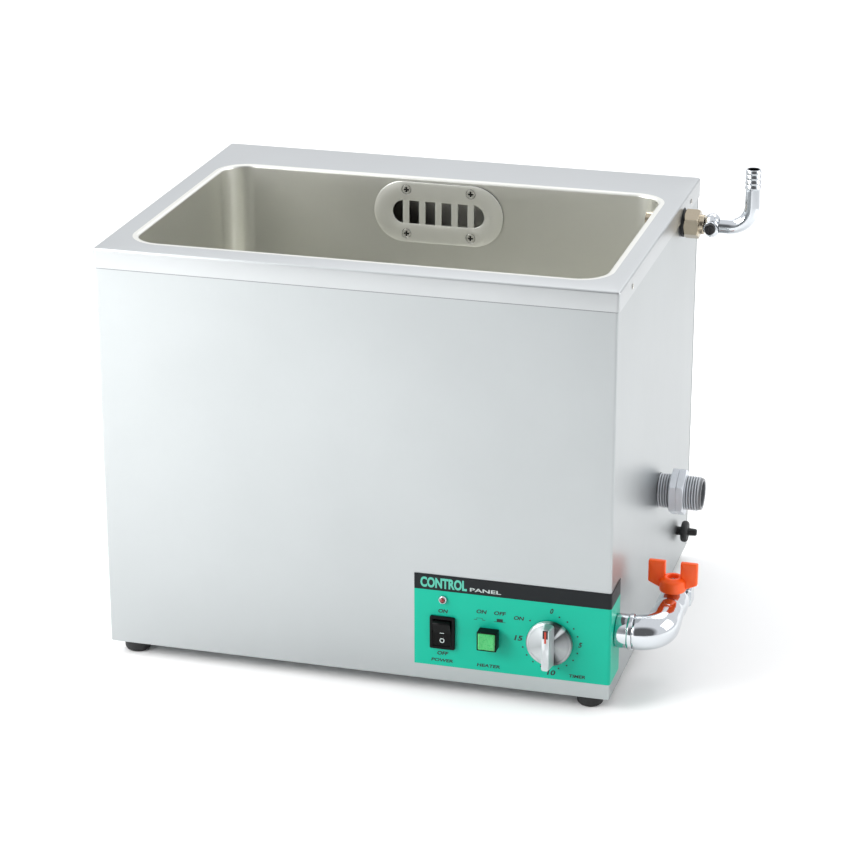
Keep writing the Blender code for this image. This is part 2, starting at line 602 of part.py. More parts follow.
def make_inlet():
    """Feed water: spigot into the tank, gasket, hexagon adapter, small cock and swivelling pipe."""
    at = (0, INLET_Y, INLET_Z)
    wall = WALL_RIGHT + GAP
    gasket_end = wall + GASKET_T
    turned("inlet_gasket", [(GASKET_R, wall), (GASKET_R, gasket_end), (SPIGOT_R + GAP, gasket_end),
                            (SPIGOT_R + GAP, wall)], BLACK_RUBBER, at, "X", 24, hollow=True)
    spigot_start, spigot_end = SPIGOT_X
    turned("inlet_spigot", [(SPIGOT_R, spigot_start), (SPIGOT_R, spigot_end), (SPIGOT_BORE, spigot_end),
                            (SPIGOT_BORE, spigot_start)], NICKEL, at, "X", 20, hollow=True)
    nut_start, nut_end, neck_end = gasket_end + GAP, ADAPTER_END, COCK_X - COCK_HALF - GAP
    flats = [(INLET_Y + a, INLET_Z + b) for a, b in hexagon(ADAPTER_AF)]
    adapter = finish("inlet_adapter", prism(flats, nut_start, nut_end, "X"), NICKEL)
    join(adapter, rod(ADAPTER_NECK_R, nut_end - 0.003, neck_end, "X", at[1:], 24))
    cut(adapter, rod(SPIGOT_R + GAP, nut_start - PAST, spigot_end + GAP, "X", at[1:], 20),
        rod(SPIGOT_BORE, spigot_end - PAST, neck_end + PAST, "X", at[1:], 20))

    barrel = [(COCK_R * 0.80, -COCK_HALF), (COCK_R * 0.95, -COCK_HALF * 0.6), (COCK_R, 0),
              (COCK_R * 0.95, COCK_HALF * 0.6), (COCK_R * 0.80, COCK_HALF),
              (SPIGOT_BORE, COCK_HALF), (SPIGOT_BORE, -COCK_HALF)]
    cock = turned("inlet_cock_body", barrel, CHROME, (COCK_X, INLET_Y, INLET_Z), "X", 20, hollow=True)
    boss_front, plug_front, plug_back = -0.0135, -0.0168, 0.0090
    join(cock, rod(COCK_BOSS_R, INLET_Y + boss_front, INLET_Y - COCK_BOSS_R, "Y", (COCK_X, INLET_Z), 20))
    cut(cock, rod(COCK_PLUG_R + GAP, INLET_Y + boss_front - 0.0005, INLET_Y + plug_back + 0.0005, "Y",
                  (COCK_X, INLET_Z), 16))
    plug = turned("inlet_cock_plug", [
        (0, plug_front), (COCK_PLUG_HEAD_R - 0.0012, plug_front), (COCK_PLUG_HEAD_R, plug_front + 0.001),
        (COCK_PLUG_HEAD_R, boss_front - GAP), (COCK_PLUG_R, boss_front - GAP), (COCK_PLUG_R, plug_back),
        (0, plug_back)], BLACK_PLASTIC, (COCK_X, INLET_Y, INLET_Z), "Y", 20)
    slot = (INLET_Y + plug_front - 0.0007, INLET_Y + plug_front + 0.0006)
    cut(plug, block(about(COCK_X, 0.0006), slot, about(INLET_Z, 0.0034)))

    start = COCK_X + COCK_HALF + GAP
    turn_x, turn_z = PIPE_X - PIPE_BEND, INLET_Z + PIPE_BEND
    path = [Vector((start, 0, INLET_Z)), Vector((turn_x, 0, INLET_Z))]
    for a in (math.radians(-90 + 15 * i) for i in range(1, 7)):
        path.append(Vector((turn_x + PIPE_BEND * math.cos(a), 0, turn_z + PIPE_BEND * math.sin(a))))
    radii = [PIPE_R] * len(path)
    barb_start = PIPE_TOP - BARBS * BARB_PITCH
    for i in range(BARBS):
        low = barb_start + i * BARB_PITCH
        path += [Vector((PIPE_X, 0, low)), Vector((PIPE_X, 0, low + 0.0012)),
                 Vector((PIPE_X, 0, low + BARB_PITCH - 0.0006))]
        radii += [PIPE_R - 0.0006, BARB_R, PIPE_R - 0.0006]
    path.append(Vector((PIPE_X, 0, PIPE_TOP)))
    radii.append(PIPE_R - 0.0006)
    pivot = Vector((start, 0, INLET_Z))
    pipe = tube([p - pivot for p in path], radii, PIPE_BORE, 12)
    finish("inlet_pipe", pipe, CHROME, (start, INLET_Y, INLET_Z), 35)


# Drain -------------------------------------------------------------------------------------------

DRAIN_ROUTE = [(0.440, 0.090, TANK_FLOOR - SHEET - GAP), (0.440, 0.090, 0.125), (0.445, 0.089, 0.088),
               (0.458, 0.079, 0.065), (0.471, 0.059, DRAIN_Z), (0.477, 0.039, DRAIN_Z),
               (0.486, 0.0287, DRAIN_Z), (0.496, DRAIN_Y, DRAIN_Z), (0.504, DRAIN_Y, DRAIN_Z),
               (0.512, DRAIN_Y, DRAIN_Z)]


def make_drain():
    """Pipe from the tank's floor, collar, chrome elbow and ball valve with a butterfly handle."""
    path = smooth_path(DRAIN_ROUTE, 2)
    finish("drain_pipe", tube(path, [DRAIN_PIPE_R] * len(path), DRAIN_BORE, 8), CHROME, smooth_angle=40)
    start = WALL_RIGHT + 2 * GAP + LABEL_T
    bore, thin, thick = DRAIN_PIPE_R + 0.0004, ELBOW_R - 0.0004, ELBOW_R + 0.0006
    turned("drain_collar", [
        (thin, start), (thin, DRAIN_COLLAR_STEP), (thick, DRAIN_COLLAR_STEP + 0.0006),
        (thick, DRAIN_COLLAR_END), (bore, DRAIN_COLLAR_END), (bore, start)],
        CHROME, (0, DRAIN_Y, DRAIN_Z), "X", 24, hollow=True)

    elbow_start = DRAIN_COLLAR_END + GAP
    straight = 0.0015
    bend = DRAIN_X - elbow_start - straight
    path = [Vector((elbow_start, DRAIN_Y, DRAIN_Z))]
    elbow_start += straight
    for a in (math.radians(-90 + 15 * i) for i in range(7)):
        path.append(Vector((elbow_start + bend * math.cos(a), DRAIN_Y + bend + bend * math.sin(a), DRAIN_Z)))
    path.append(Vector((DRAIN_X, ELBOW_END, DRAIN_Z)))
    finish("drain_elbow", tube(path, [ELBOW_R] * len(path), DRAIN_PIPE_R, 18), CHROME, smooth_angle=35)

    body_start = ELBOW_END + GAP
    nut_start, tail = VALVE_END - VALVE_HEX_L, VALVE_END - 0.002
    body = turned("drain_valve_body", [
        (VALVE_R - 0.0002, body_start), (VALVE_R - 0.0002, STEM_Y - 0.020), (VALVE_WAIST_R, STEM_Y - 0.014),
        (VALVE_R, STEM_Y - 0.006), (VALVE_R, STEM_Y + 0.006), (VALVE_WAIST_R, STEM_Y + 0.014),
        (VALVE_TAIL_R, STEM_Y + 0.022), (VALVE_TAIL_R, tail), (VALVE_BORE, tail), (VALVE_BORE, body_start)],
        CHROME, (DRAIN_X, 0, DRAIN_Z), "Y", 20, hollow=True)
    flats = [(DRAIN_X + a, DRAIN_Z + b) for a, b in hexagon(VALVE_HEX_AF)]
    nut = finish("nut", prism(flats, nut_start, VALVE_END, "Y"), CHROME)
    cut(nut, rod(VALVE_TAIL_R - 0.002, nut_start - PAST, VALVE_END + PAST, "Y", (DRAIN_X, DRAIN_Z)))
    boolean(body, nut, "UNION")
    join(body, rod(VALVE_NECK_R, DRAIN_Z + VALVE_TAIL_R - 0.0005, HUB_Z[0] - GAP, "Z", (DRAIN_X, STEM_Y), 20))
    ball_seat = BALL_R + GAP
    seat = capped([[(DRAIN_X, STEM_Y, DRAIN_Z - ball_seat)]] + [
        circle(ball_seat * math.cos(a), DRAIN_Z + ball_seat * math.sin(a), "Z", 16, (DRAIN_X, STEM_Y))
        for a in (math.radians(-90 + 180 * i / 8) for i in range(1, 8))
    ] + [[(DRAIN_X, STEM_Y, DRAIN_Z + ball_seat)]])
    cut(body, seat, rod(STEM_R + GAP, DRAIN_Z, HUB_Z[0] + 0.002, "Z", (DRAIN_X, STEM_Y), 16))

    stem_top = HUB_Z[1] - HUB_CUP - DRAIN_Z
    ball = turned("drain_ball", [(0, -BALL_R)] + [
        (BALL_R * math.cos(a), BALL_R * math.sin(a)) for a in
        (math.radians(-90 + 180 * i / 8) for i in range(1, 7))
    ] + [(STEM_R, BALL_R * 0.96), (STEM_R, stem_top), (0, stem_top)],
        CHROME, (DRAIN_X, STEM_Y, DRAIN_Z), sides=16)
    cut(ball, rod(BALL_R * 0.6, *about(DRAIN_X, BALL_R + PAST), "X", (STEM_Y, DRAIN_Z), 16))

    hub_low, hub_high = HUB_Z
    handle = turned("drain_handle", [
        (HUB_R - 0.0012, hub_low), (HUB_R, hub_low + 0.0012), (HUB_R, hub_high - 0.003),
        (HUB_R - 0.0040, hub_high), (HUB_CUP_R, hub_high), (HUB_CUP_R, hub_high - HUB_CUP),
        (STEM_R + GAP, hub_high - HUB_CUP), (STEM_R + GAP, hub_low)],
        ORANGE_NYLON, (DRAIN_X, STEM_Y, 0), "Z", 24, hollow=True)
    for way in (-1, 1):
        tip = way * WING_SPAN / 2
        outline = [(way * WING_IN, hub_low + 0.0020), (way * (HUB_R - 0.0007), hub_low + 0.0020),
                   (tip, WING_LOW), (tip, WING_TOP - 0.001), (tip - way * 0.001, WING_TOP),
                   (way * (WING_IN + 0.001), WING_TOP), (way * WING_IN, WING_TOP - 0.001)]
        wing = [(DRAIN_X + a, b) for a, b in outline]
        join(handle, prism(wing, *about(STEM_Y, WING_T / 2), "Y"))
    low, head = hub_high - HUB_CUP + GAP, HUB_CUP_R - 0.0011
    turned("handle_screw", [(0, low), (head, low), (head, low + 0.0018), (head - 0.0015, low + 0.0028),
                            (0, low + 0.0028)], CHROME, (DRAIN_X, STEM_Y, 0), "Z", 16)


# Control panel -----------------------------------------------------------------------------------

def make_label():
    """Printed film on the front that folds round the right-hand corner."""
    x_out = WALL_RIGHT + GAP + LABEL_T
    y_in = LABEL_FRONT + LABEL_T
    outline = [(LABEL_X, LABEL_FRONT), (x_out, LABEL_FRONT), (x_out, LABEL_SIDE),
               (x_out - LABEL_T, LABEL_SIDE), (x_out - LABEL_T, y_in), (LABEL_X, y_in)]
    label = finish("control_label", prism(outline, *LABEL_Z), LABEL_FILM)
    front = spread((LABEL_FRONT, y_in), PAST / 2)
    room = LABEL_ROOM
    cut(label,
        block(about(ROCKER_X, ROCKER_HOLE[0] + room), front, about(ROCKER_Z, ROCKER_HOLE[1] + room)),
        block(about(HEATER_X, HEATER_HOLE + room), front, about(HEATER_Z, HEATER_HOLE + room)),
        rod(LAMP_HOLE_R + room, *front, "Y", (LAMP_X, LAMP_Z), 16),
        rod(TIMER_HOLE_R + room, *front, "Y", (TIMER_X, TIMER_Z), 20),
        rod(ELBOW_R + 0.0004, *about(x_out, PAST), "X", (DRAIN_Y, DRAIN_Z), 28))


def make_power_switch():
    """Rocker switch: a bezel with a barrel through the panel, and the rocker on its pin."""
    pivot_y = PANEL_SEAT + 0.0006
    front = PANEL_SEAT - BEZEL_T
    housing = finish("power_switch_housing", capped([
        rounded_rect(about(ROCKER_X, w / 2), about(ROCKER_Z, h / 2), r, y, "Y", 2)
        for w, h, r, y in ((BEZEL_W - 0.0012, BEZEL_H - 0.0012, 0.0010, front),
                           (BEZEL_W, BEZEL_H, 0.0014, front + 0.0006),
                           (BEZEL_W, BEZEL_H, 0.0014, PANEL_SEAT),
                           (*BEZEL_BARREL, 0.0010, PANEL_SEAT),
                           (*BEZEL_BARREL, 0.0010, BODY_Y[0] + 0.020))]), BLACK_PLASTIC)
    depth = 0.0030
    tip_out = depth + ROCKER_HALF * math.tan(ROCKER_LEAN)
    tip_r = math.hypot(tip_out, ROCKER_HALF)
    cut(housing,
        block(about(ROCKER_X, ROCKER_W / 2 + GAP), (front - 0.001, pivot_y + 0.0065),
              about(ROCKER_Z, tip_r + GAP)),
        rod(ROCKER_PIN_R + GAP, *about(ROCKER_X, ROCKER_PIN_HALF + GAP), "X", (pivot_y, ROCKER_Z), 12))
    start = math.atan2(ROCKER_HALF, -tip_out)
    end = math.atan2(tip_r * 0.97, 0.0028)
    side = [(tip_r * math.cos(a), tip_r * math.sin(a))
            for a in (start + (end - start) * i / 4 for i in range(5))]
    section = [(-depth, 0)] + side + [(y, -z) for y, z in reversed(side)]
    rocker = finish("power_rocker", prism(section, -ROCKER_W / 2, ROCKER_W / 2, "X"), BLACK_PLASTIC,
                    (ROCKER_X, pivot_y, ROCKER_Z), 20)
    pin = finish("pin", rod(ROCKER_PIN_R, *about(0, ROCKER_PIN_HALF), "X", (0, 0), 12), BLACK_PLASTIC,
                 (ROCKER_X, pivot_y, ROCKER_Z))
    boolean(rocker, pin, "UNION")
    rocker.rotation_euler.x = ROCKER_LEAN


def make_pilot_lamp():
    """Chrome bezel with a red lens pressed into it."""
    back = BODY_Y[0] + 0.012
    front, inner, lens_back = PANEL_SEAT - 0.0022, LAMP_LENS_R + GAP, back - 0.002
    turned("pilot_lamp_bezel", [
        (LAMP_BEZEL_R, PANEL_SEAT), (LAMP_BEZEL_R, PANEL_SEAT - 0.0010), (LAMP_BEZEL_R - 0.0008, front),
        (inner, front), (inner, back), (LAMP_BARREL_R, back), (LAMP_BARREL_R, PANEL_SEAT)],
        CHROME, (LAMP_X, 0, LAMP_Z), "Y", 20, hollow=True)
    dome = [(0, front - 0.0016)] + [(LAMP_LENS_R * math.cos(a), front - 0.0016 * math.sin(a))
                                    for a in (math.radians(67.5 - 22.5 * i) for i in range(4))]
    turned("pilot_lamp_lens", dome + [(LAMP_LENS_R, lens_back), (0, lens_back)], RED_LENS,
           (LAMP_X, 0, LAMP_Z), "Y", 16)


def make_heater_switch():
    """Push switch: a square housing that stands out of the panel, with a green push button in it."""
    half = HEATER_W / 2
    front = PANEL_SEAT - HEATER_OUT
    back = BODY_Y[0] + 0.022

    def square(size, y):
        return rounded_rect(about(HEATER_X, size), about(HEATER_Z, size), 0.0008, y, "Y", 2)

    inner, guide, ledge = half - HEATER_RIM, HEATER_STEM + 0.0004, PANEL_SEAT - 0.0030
    finish("heater_switch_housing", capped([
        square(HEATER_BARREL, back), square(HEATER_BARREL, PANEL_SEAT), square(half, PANEL_SEAT),
        square(half, front), square(inner, front), square(inner, ledge), square(guide, ledge),
        square(guide, back - 0.002)]), BLACK_PLASTIC)
    face, cap = front - 0.0010, inner - GAP
    cap_back = ledge - 0.0035
    finish("heater_button", capped([
        square(HEATER_STEM, PANEL_SEAT + 0.012), square(HEATER_STEM, cap_back), square(cap, cap_back),
        square(cap, face + 0.0005), square(cap - 0.0006, face)]), GREEN_BUTTON)


def make_timer():
    """Clockwork timer behind the panel, its shaft, and the knob with a bar across it."""
    at = (TIMER_X, TIMER_Z)
    half, shaft_hole = TIMER_BODY_HALF, TIMER_SHAFT_R + GAP
    back = BODY_Y[0] + SHEET + GAP
    body = finish("timer_body", block(about(TIMER_X, half), (back, back + TIMER_BODY_T), about(TIMER_Z, half)),
                  GALVANISED)
    shaft_front, shaft_back = -0.0150, back + 0.0180
    join(body, rod(TIMER_BUSH_R, PANEL_SEAT + 0.0002, back + PAST, "Y", at, 20))
    cut(body, rod(shaft_hole, PANEL_SEAT - PAST, shaft_back + 0.002, "Y", at, 16))
    turned("timer_shaft", [(0, shaft_front), (TIMER_SHAFT_R, shaft_front), (TIMER_SHAFT_R, shaft_back),
                           (0, shaft_back)], ALUMINIUM, (TIMER_X, 0, TIMER_Z), "Y", 16)
    disc_back = PANEL_SEAT - 0.0008
    disc_front = disc_back - KNOB_DISC
    knob = turned("timer_knob", [
        (0, disc_front), (KNOB_R - 0.0012, disc_front), (KNOB_R, disc_front + 0.0012), (KNOB_R, disc_back),
        (0, disc_back)], ALUMINIUM, (TIMER_X, 0, TIMER_Z), "Y", 32)
    grip = capped([
        rounded_rect(about(TIMER_X, w), about(TIMER_Z, h), w * 0.6, y, "Y", 3)
        for w, h, y in ((GRIP_ROOT, GRIP_HALF_L, disc_front + 0.002), (GRIP_ROOT, GRIP_HALF_L, disc_front),
                        (GRIP_TOP + 0.0004, GRIP_HALF_L - 0.0012, KNOB_FRONT + 0.001),
                        (GRIP_TOP, GRIP_HALF_L - 0.0020, KNOB_FRONT))])
    join(knob, grip)
    cut(knob, rod(shaft_hole, shaft_front - 0.0005, disc_back + PAST, "Y", at, 16))


# Inside ------------------------------------------------------------------------------------------

def make_transducers():
    """Sandwich transducers bonded under the floor: flared horn, ceramic rings, back mass and bolt."""
    profile = [(0, 0), (0.0225, 0), (0.0175, -0.024), (0.0190, -0.0245), (0.0190, -0.0355),
               (0.0170, -0.0360), (0.0170, -0.0500), (0.0060, -0.0500), (0.0060, -0.0550), (0, -0.0550)]
    top = TANK_FLOOR - SHEET - GAP
    places = [(x, y) for y in SOUNDER_Y for x in SOUNDER_X]
    for i, (x, y) in enumerate(places):
        turned(f"transducer_{i + 1}", profile, CERAMIC_STACK, (x, y, top), "Z", 14)


def make_heating():
    """Silicone heater mats on the tank's end walls, and a thermostat on the front wall."""
    for side, x, way in (("left", TANK_X[0] - SHEET - GAP, -1), ("right", TANK_X[1] + SHEET + GAP, 1)):
        thickness = sorted((x, x + way * HEATER_MAT_T))
        finish(f"heater_mat_{side}", block(thickness, HEATER_MAT_Y, HEATER_MAT_Z), SILICONE)
    y = TANK_Y[0] - SHEET - GAP
    finish("thermostat", capped([circle(r, d, "Y", 20, THERMOSTAT_AT) for r, d in (
        (0.0110, y), (0.0110, y - 0.002), (0.0078, y - 0.002), (0.0078, y - 0.012))]), BLACK_PLASTIC)


def make_electronics():
    """Generator board with its parts, and a finned heat sink beside it."""
    board = finish("generator_board", block(BOARD_X, BOARD_Y, (BOARD_Z, BOARD_Z + BOARD_T)), CIRCUIT_BOARD)
    low = BOARD_Z + BOARD_T / 2
    parts = [((0.158, 0.200), (0.120, 0.160), 0.052), ((0.215, 0.240), (0.120, 0.140), 0.044),
             ((0.250, 0.275), (0.125, 0.150), 0.040), ((0.285, 0.320), (0.185, 0.220), 0.036)]
    posts = [((x, x + 0.008), (y, y + 0.008)) for x in (BOARD_X[0] + 0.002, BOARD_X[1] - 0.010)
             for y in (BOARD_Y[0] + 0.002, BOARD_Y[1] - 0.010)]
    join(board, *(block(x, y, (low, top)) for x, y, top in parts),
         *(block(x, y, (SHEET + GAP, low)) for x, y in posts))
    sink = finish("heat_sink", block(SINK_X, SINK_Y, (SHEET + GAP, SINK_TOP)), ALUMINIUM)
    cut(sink, *(block((x, x + SINK_SLOT_W), spread(SINK_Y, PAST), (SINK_FLOOR, SINK_TOP + PAST))
                for x in (SINK_X[0] + 0.0025 + SINK_PITCH * i for i in range(SINK_SLOTS))))


def make_fan():
    """Axial fan behind the back panel's slots: square frame and a bladed rotor."""
    y1 = BODY_Y[1] - SHEET - 2 * GAP - 0.0001
    y0 = y1 - FAN_T
    half, arm = FAN_SIZE / 2, FAN_BORE + 0.0015
    frame = finish("fan_housing", block(about(FAN_X, half), (y0, y1), about(FAN_Z, half)), BLACK_PLASTIC)
    cut(frame, rod(FAN_BORE, y0 - PAST, y1 + PAST, "Y", (FAN_X, FAN_Z), 32))
    motor = finish("motor", rod(FAN_MOTOR_R, y1 - 0.004, y1 - 0.0004, "Y", (FAN_X, FAN_Z), 20), BLACK_PLASTIC)
    join(motor, block(about(FAN_X, arm), (y1 - 0.0030, y1 - 0.0008), about(FAN_Z, FAN_ARM_HALF)),
         block(about(FAN_X, FAN_ARM_HALF), (y1 - 0.0032, y1 - 0.0010), about(FAN_Z, arm)))
    boolean(frame, motor, "UNION")
    rotor_y = (y0 + 0.0010, y1 - 0.0045)
    rotor = finish("fan_rotor", rod(ROTOR_R, 0, rotor_y[1] - rotor_y[0], "Y", (0, 0), 20), BLACK_PLASTIC,
                   (FAN_X, rotor_y[0], FAN_Z))
    for i in range(BLADES):
        turn = 2 * math.pi * i / BLADES
        along_r = Vector((math.cos(turn), 0, math.sin(turn)))
        across = Vector((-math.sin(turn), 0, math.cos(turn)))
        rings = []
        for radius in (ROTOR_R - 0.0015, BLADE_TIP_R):
            ring = []
            for u, v in ((-0.0065, 0.0010), (-0.0053, 0.0010), (0.0065, 0.0082), (0.0053, 0.0082)):
                ring.append(along_r * radius + across * u + Vector((0, v, 0)))
            rings.append(ring)
        blade = finish("blade", capped(rings), BLACK_PLASTIC, rotor.location)
        boolean(rotor, blade, "UNION")


make_casing()
make_back_panel()
make_base_plate()
make_feet()
make_top_cover()
make_skirt_screws()
make_tank()
make_grille()
make_grille_screws()
make_overflow_box()
make_overflow_hose()
make_overflow_outlet()
make_gland()
make_inlet()
make_drain()
make_label()
make_power_switch()
make_pilot_lamp()
make_heater_switch()
make_timer()
make_transducers()
make_heating()
make_electronics()
make_fan()
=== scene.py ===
"""Looks of a bench-top ultrasonic cleaner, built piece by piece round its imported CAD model.

Metres, +Z up, the control panel faces -Y and the water fittings stand out at +X.
"""

import math

import bmesh
import bpy
import numpy as np
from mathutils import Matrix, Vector


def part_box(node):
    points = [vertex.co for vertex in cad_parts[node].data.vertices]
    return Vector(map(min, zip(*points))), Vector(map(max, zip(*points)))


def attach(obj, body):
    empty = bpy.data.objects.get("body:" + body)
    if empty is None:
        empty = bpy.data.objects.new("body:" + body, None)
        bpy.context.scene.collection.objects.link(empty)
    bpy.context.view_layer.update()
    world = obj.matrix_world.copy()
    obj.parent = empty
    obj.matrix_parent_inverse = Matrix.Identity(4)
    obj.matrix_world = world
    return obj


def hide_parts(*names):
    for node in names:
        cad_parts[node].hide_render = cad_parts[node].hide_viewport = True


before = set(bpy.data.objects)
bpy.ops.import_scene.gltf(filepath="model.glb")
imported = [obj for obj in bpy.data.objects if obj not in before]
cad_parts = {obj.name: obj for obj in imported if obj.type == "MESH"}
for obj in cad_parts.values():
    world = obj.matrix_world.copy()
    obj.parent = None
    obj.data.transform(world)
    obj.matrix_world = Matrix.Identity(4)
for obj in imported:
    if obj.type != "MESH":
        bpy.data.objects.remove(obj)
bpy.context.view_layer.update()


# Camera and studio -------------------------------------------------------------------------------
# A long lens looks down on the cleaner from its front right corner. The floor is plain and pale,
# and the light is a white room with large soft panels. The end behind the camera is left dark, so
# that bright metal shows dark lines.

EYE = (0.6933, -2.5322, 1.1889)
LOOK_DOWN, TURN_LEFT = 0.3625, 0.2716      # radians
LENS, SENSOR = 118.7, 36.0                 # millimetres
ROOM_LIGHT, DARK_LIGHT = 1.0, 0.16
DARK_WAY = (0.30, -0.90, 0.32)             # towards the dark end of the room
DARK_EDGE = 44, 29                         # degrees from its middle where it starts and is full
FLOOR_HALF = 30.0


def linear(colour):
    """sRGB hex to linear RGBA: c / 12.92 in the toe, ((c + 0.055) / 1.055) ** 2.4 above it."""
    c = np.array([int(colour[i:i + 2], 16) for i in (1, 3, 5)]) / 255
    return (*np.where(c <= 0.04045, c / 12.92, ((c + 0.055) / 1.055) ** 2.4), 1.0)


def add_node(tree, kind, links=(), **settings):
    """One shader node with its settings; `links` gives an input's value, or the socket that feeds it."""
    made = tree.nodes.new(kind)
    for name, value in settings.items():
        setattr(made, name, value)
    for socket, value in dict(links).items():
        if isinstance(value, bpy.types.NodeSocket):
            tree.links.new(value, made.inputs[socket])
        else:
            made.inputs[socket].default_value = value
    return made


def spread(tree, value, low, high, start=0.0, end=1.0):
    """A value that runs from `start` to `end`, laid on the range low to high and held at its ends."""
    return add_node(tree, "ShaderNodeMapRange", {"Value": value, "From Min": start, "From Max": end,
                                                 "To Min": low, "To Max": high}).outputs["Result"]


def arithmetic(tree, operation, *values):
    """The result of one step of arithmetic."""
    return add_node(tree, "ShaderNodeMath", dict(enumerate(values)), operation=operation).outputs["Value"]


def vector_step(tree, operation, *vectors):
    """The outputs of one step of vector arithmetic."""
    return add_node(tree, "ShaderNodeVectorMath", dict(enumerate(vectors)), operation=operation).outputs


def new_material(name, colour, roughness, metallic=0.0, **constants):
    """A material with one Principled shader and the constants set straight on its sockets. It comes
    with its node tree and the socket that gives Object coordinates."""
    made = bpy.data.materials.new(name)
    made.use_nodes = True
    shader = made.node_tree.nodes["Principled BSDF"]
    values = {"Base Color": linear(colour), "Roughness": roughness, "Metallic": metallic, **constants}
    for socket, value in values.items():
        shader.inputs[socket].default_value = value
    return made, made.node_tree, add_node(made.node_tree, "ShaderNodeTexCoord").outputs["Object"]


def placed(name, data):
    """A new object in the scene that shows `data`."""
    made = bpy.data.objects.new(name, data)
    bpy.context.scene.collection.objects.link(made)
    return made


def soft_panel(name, place, aim, size, watts):
    """A square area light at `place` that faces `aim`."""
    light = bpy.data.lights.new(name, "AREA")
    light.shape = "SQUARE"
    light.size = size
    light.energy = watts
    made = placed(name, light)
    made.location = place
    made.rotation_euler = (Vector(aim) - Vector(place)).to_track_quat("-Z", "Y").to_euler()
    made.visible_camera = False


lens = bpy.data.cameras.new("camera")
lens.sensor_width = SENSOR
lens.lens = LENS
camera = placed("camera", lens)
camera.location = EYE
camera.rotation_euler = (math.pi / 2 - LOOK_DOWN, 0, TURN_LEFT)
bpy.context.scene.camera = camera
bpy.context.scene.view_settings.view_transform = "Standard"

room = bpy.data.worlds.new("white_room")
room.use_nodes = True
backdrop = room.node_tree.nodes["Background"]
backdrop.inputs["Color"].default_value = linear("#FBFCFF")
look = add_node(room.node_tree, "ShaderNodeTexCoord").outputs["Generated"]
facing = vector_step(room.node_tree, "DOT_PRODUCT", look, Vector(DARK_WAY).normalized())["Value"]
edge, full = (math.cos(math.radians(angle)) for angle in DARK_EDGE)
dimmed = spread(room.node_tree, facing, ROOM_LIGHT, DARK_LIGHT, edge, full)
room.node_tree.links.new(dimmed, backdrop.inputs["Strength"])
bpy.context.scene.world = room

soft_panel("key_panel", (-1.5, -1.3, 1.1), (-0.6, -0.7, 0.0), 1.1, 34)
soft_panel("top_panel", (-1.4, 0.1, 1.8), (0.0, 0.1, 0.2), 1.2, 24)
soft_panel("fill_panel", (1.3, 0.2, 0.6), (0.35, 0.0, 0.0), 0.8, 6)
soft_panel("apron_panel", (-0.9, -1.0, 0.5), (-0.5, -0.5, 0.0), 0.6, 2.2)
soft_panel("bowl_panel", (0.6, 1.1, 1.5), (0.08, -0.1, 0.3), 0.5, 3)
soft_panel("backdrop_panel", (0.0, 3.0, 2.6), (0.0, 3.4, 0.0), 3.0, 32)

ground = bpy.data.meshes.new("floor")
ground.from_pydata([(x * FLOOR_HALF, y * FLOOR_HALF, 0) for x, y in ((-1, -1), (1, -1), (1, 1), (-1, 1))],
                   [], [(0, 1, 2, 3)])
ground.materials.append(new_material("pale_backdrop_paper", "#F6F6F5", 0.9)[0])
placed("floor", ground)


# Feet --------------------------------------------------------------------------------------------
# Four black rubber feet, compression-moulded with a domed edge and a cupped sole, whose stems are
# pushed through holes in the base plate. The mould leaves a fine matt grain.

FOOT_SOLE, STEM_R = 0.0104, 0.0038
FINE_SIDES = 72
SHARP = 32               # degrees; edges that turn by more stay crisp
MOTTLE = 0.06            # share by which a moulding's colour drifts


def eased(corners, ease, steps=4, closed=False):
    """A polyline with rounded corners. Corner P becomes the parabola (1-s)^2 A + 2s(1-s) P + s^2 B,
    where A and B lie `ease` before and after P, or at 45 % of a shorter edge."""
    p = np.asarray(corners, float)
    back, ahead = np.roll(p, 1, 0) - p, np.roll(p, -1, 0) - p
    back_length = np.linalg.norm(back, axis=1) + 1e-12
    ahead_length = np.linalg.norm(ahead, axis=1) + 1e-12
    reach = np.broadcast_to(np.asarray(ease, float), len(p))
    a = p + back * (np.minimum(reach, 0.45 * back_length) / back_length)[:, None]
    b = p + ahead * (np.minimum(reach, 0.45 * ahead_length) / ahead_length)[:, None]
    s = np.linspace(0, 1, steps + 1)[None, :, None]
    curve = (1 - s) ** 2 * a[:, None] + 2 * s * (1 - s) * p[:, None] + s ** 2 * b[:, None]
    if closed:
        return curve.reshape(-1, p.shape[1])
    return np.concatenate([p[:1], curve[1:-1].reshape(-1, p.shape[1]), p[-1:]])


def around(sides):
    """Even angles round a circle."""
    return np.arange(sides) * 2 * np.pi / sides


def revolved(radius, depth, axis, centre, sides=FINE_SIDES):
    """Grid point (i, j) is centre + depth * axis + radius * (cos t_j, sin t_j) across the axis, with
    t_j = 2 pi j / sides. Radius and depth hold one value per row, or one per row and column."""
    t = around(sides)
    r = np.asarray(radius, float).reshape(len(radius), -1) * np.ones(sides)
    d = np.asarray(depth, float).reshape(len(depth), -1) * np.ones(sides)
    across = (r * np.cos(t), r * np.sin(t))
    order = {"X": (d, *across), "Y": (across[0], d, across[1]), "Z": (*across, d)}[axis]
    return np.stack(order, -1) + np.asarray(centre, float)


def line_through(node, axis):
    """A place on the line along `axis` through the middle of a CAD node, with 0 on that axis."""
    centre = [(a + b) / 2 for a, b in zip(*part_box(node))]
    centre["XYZ".index(axis)] = 0
    return centre


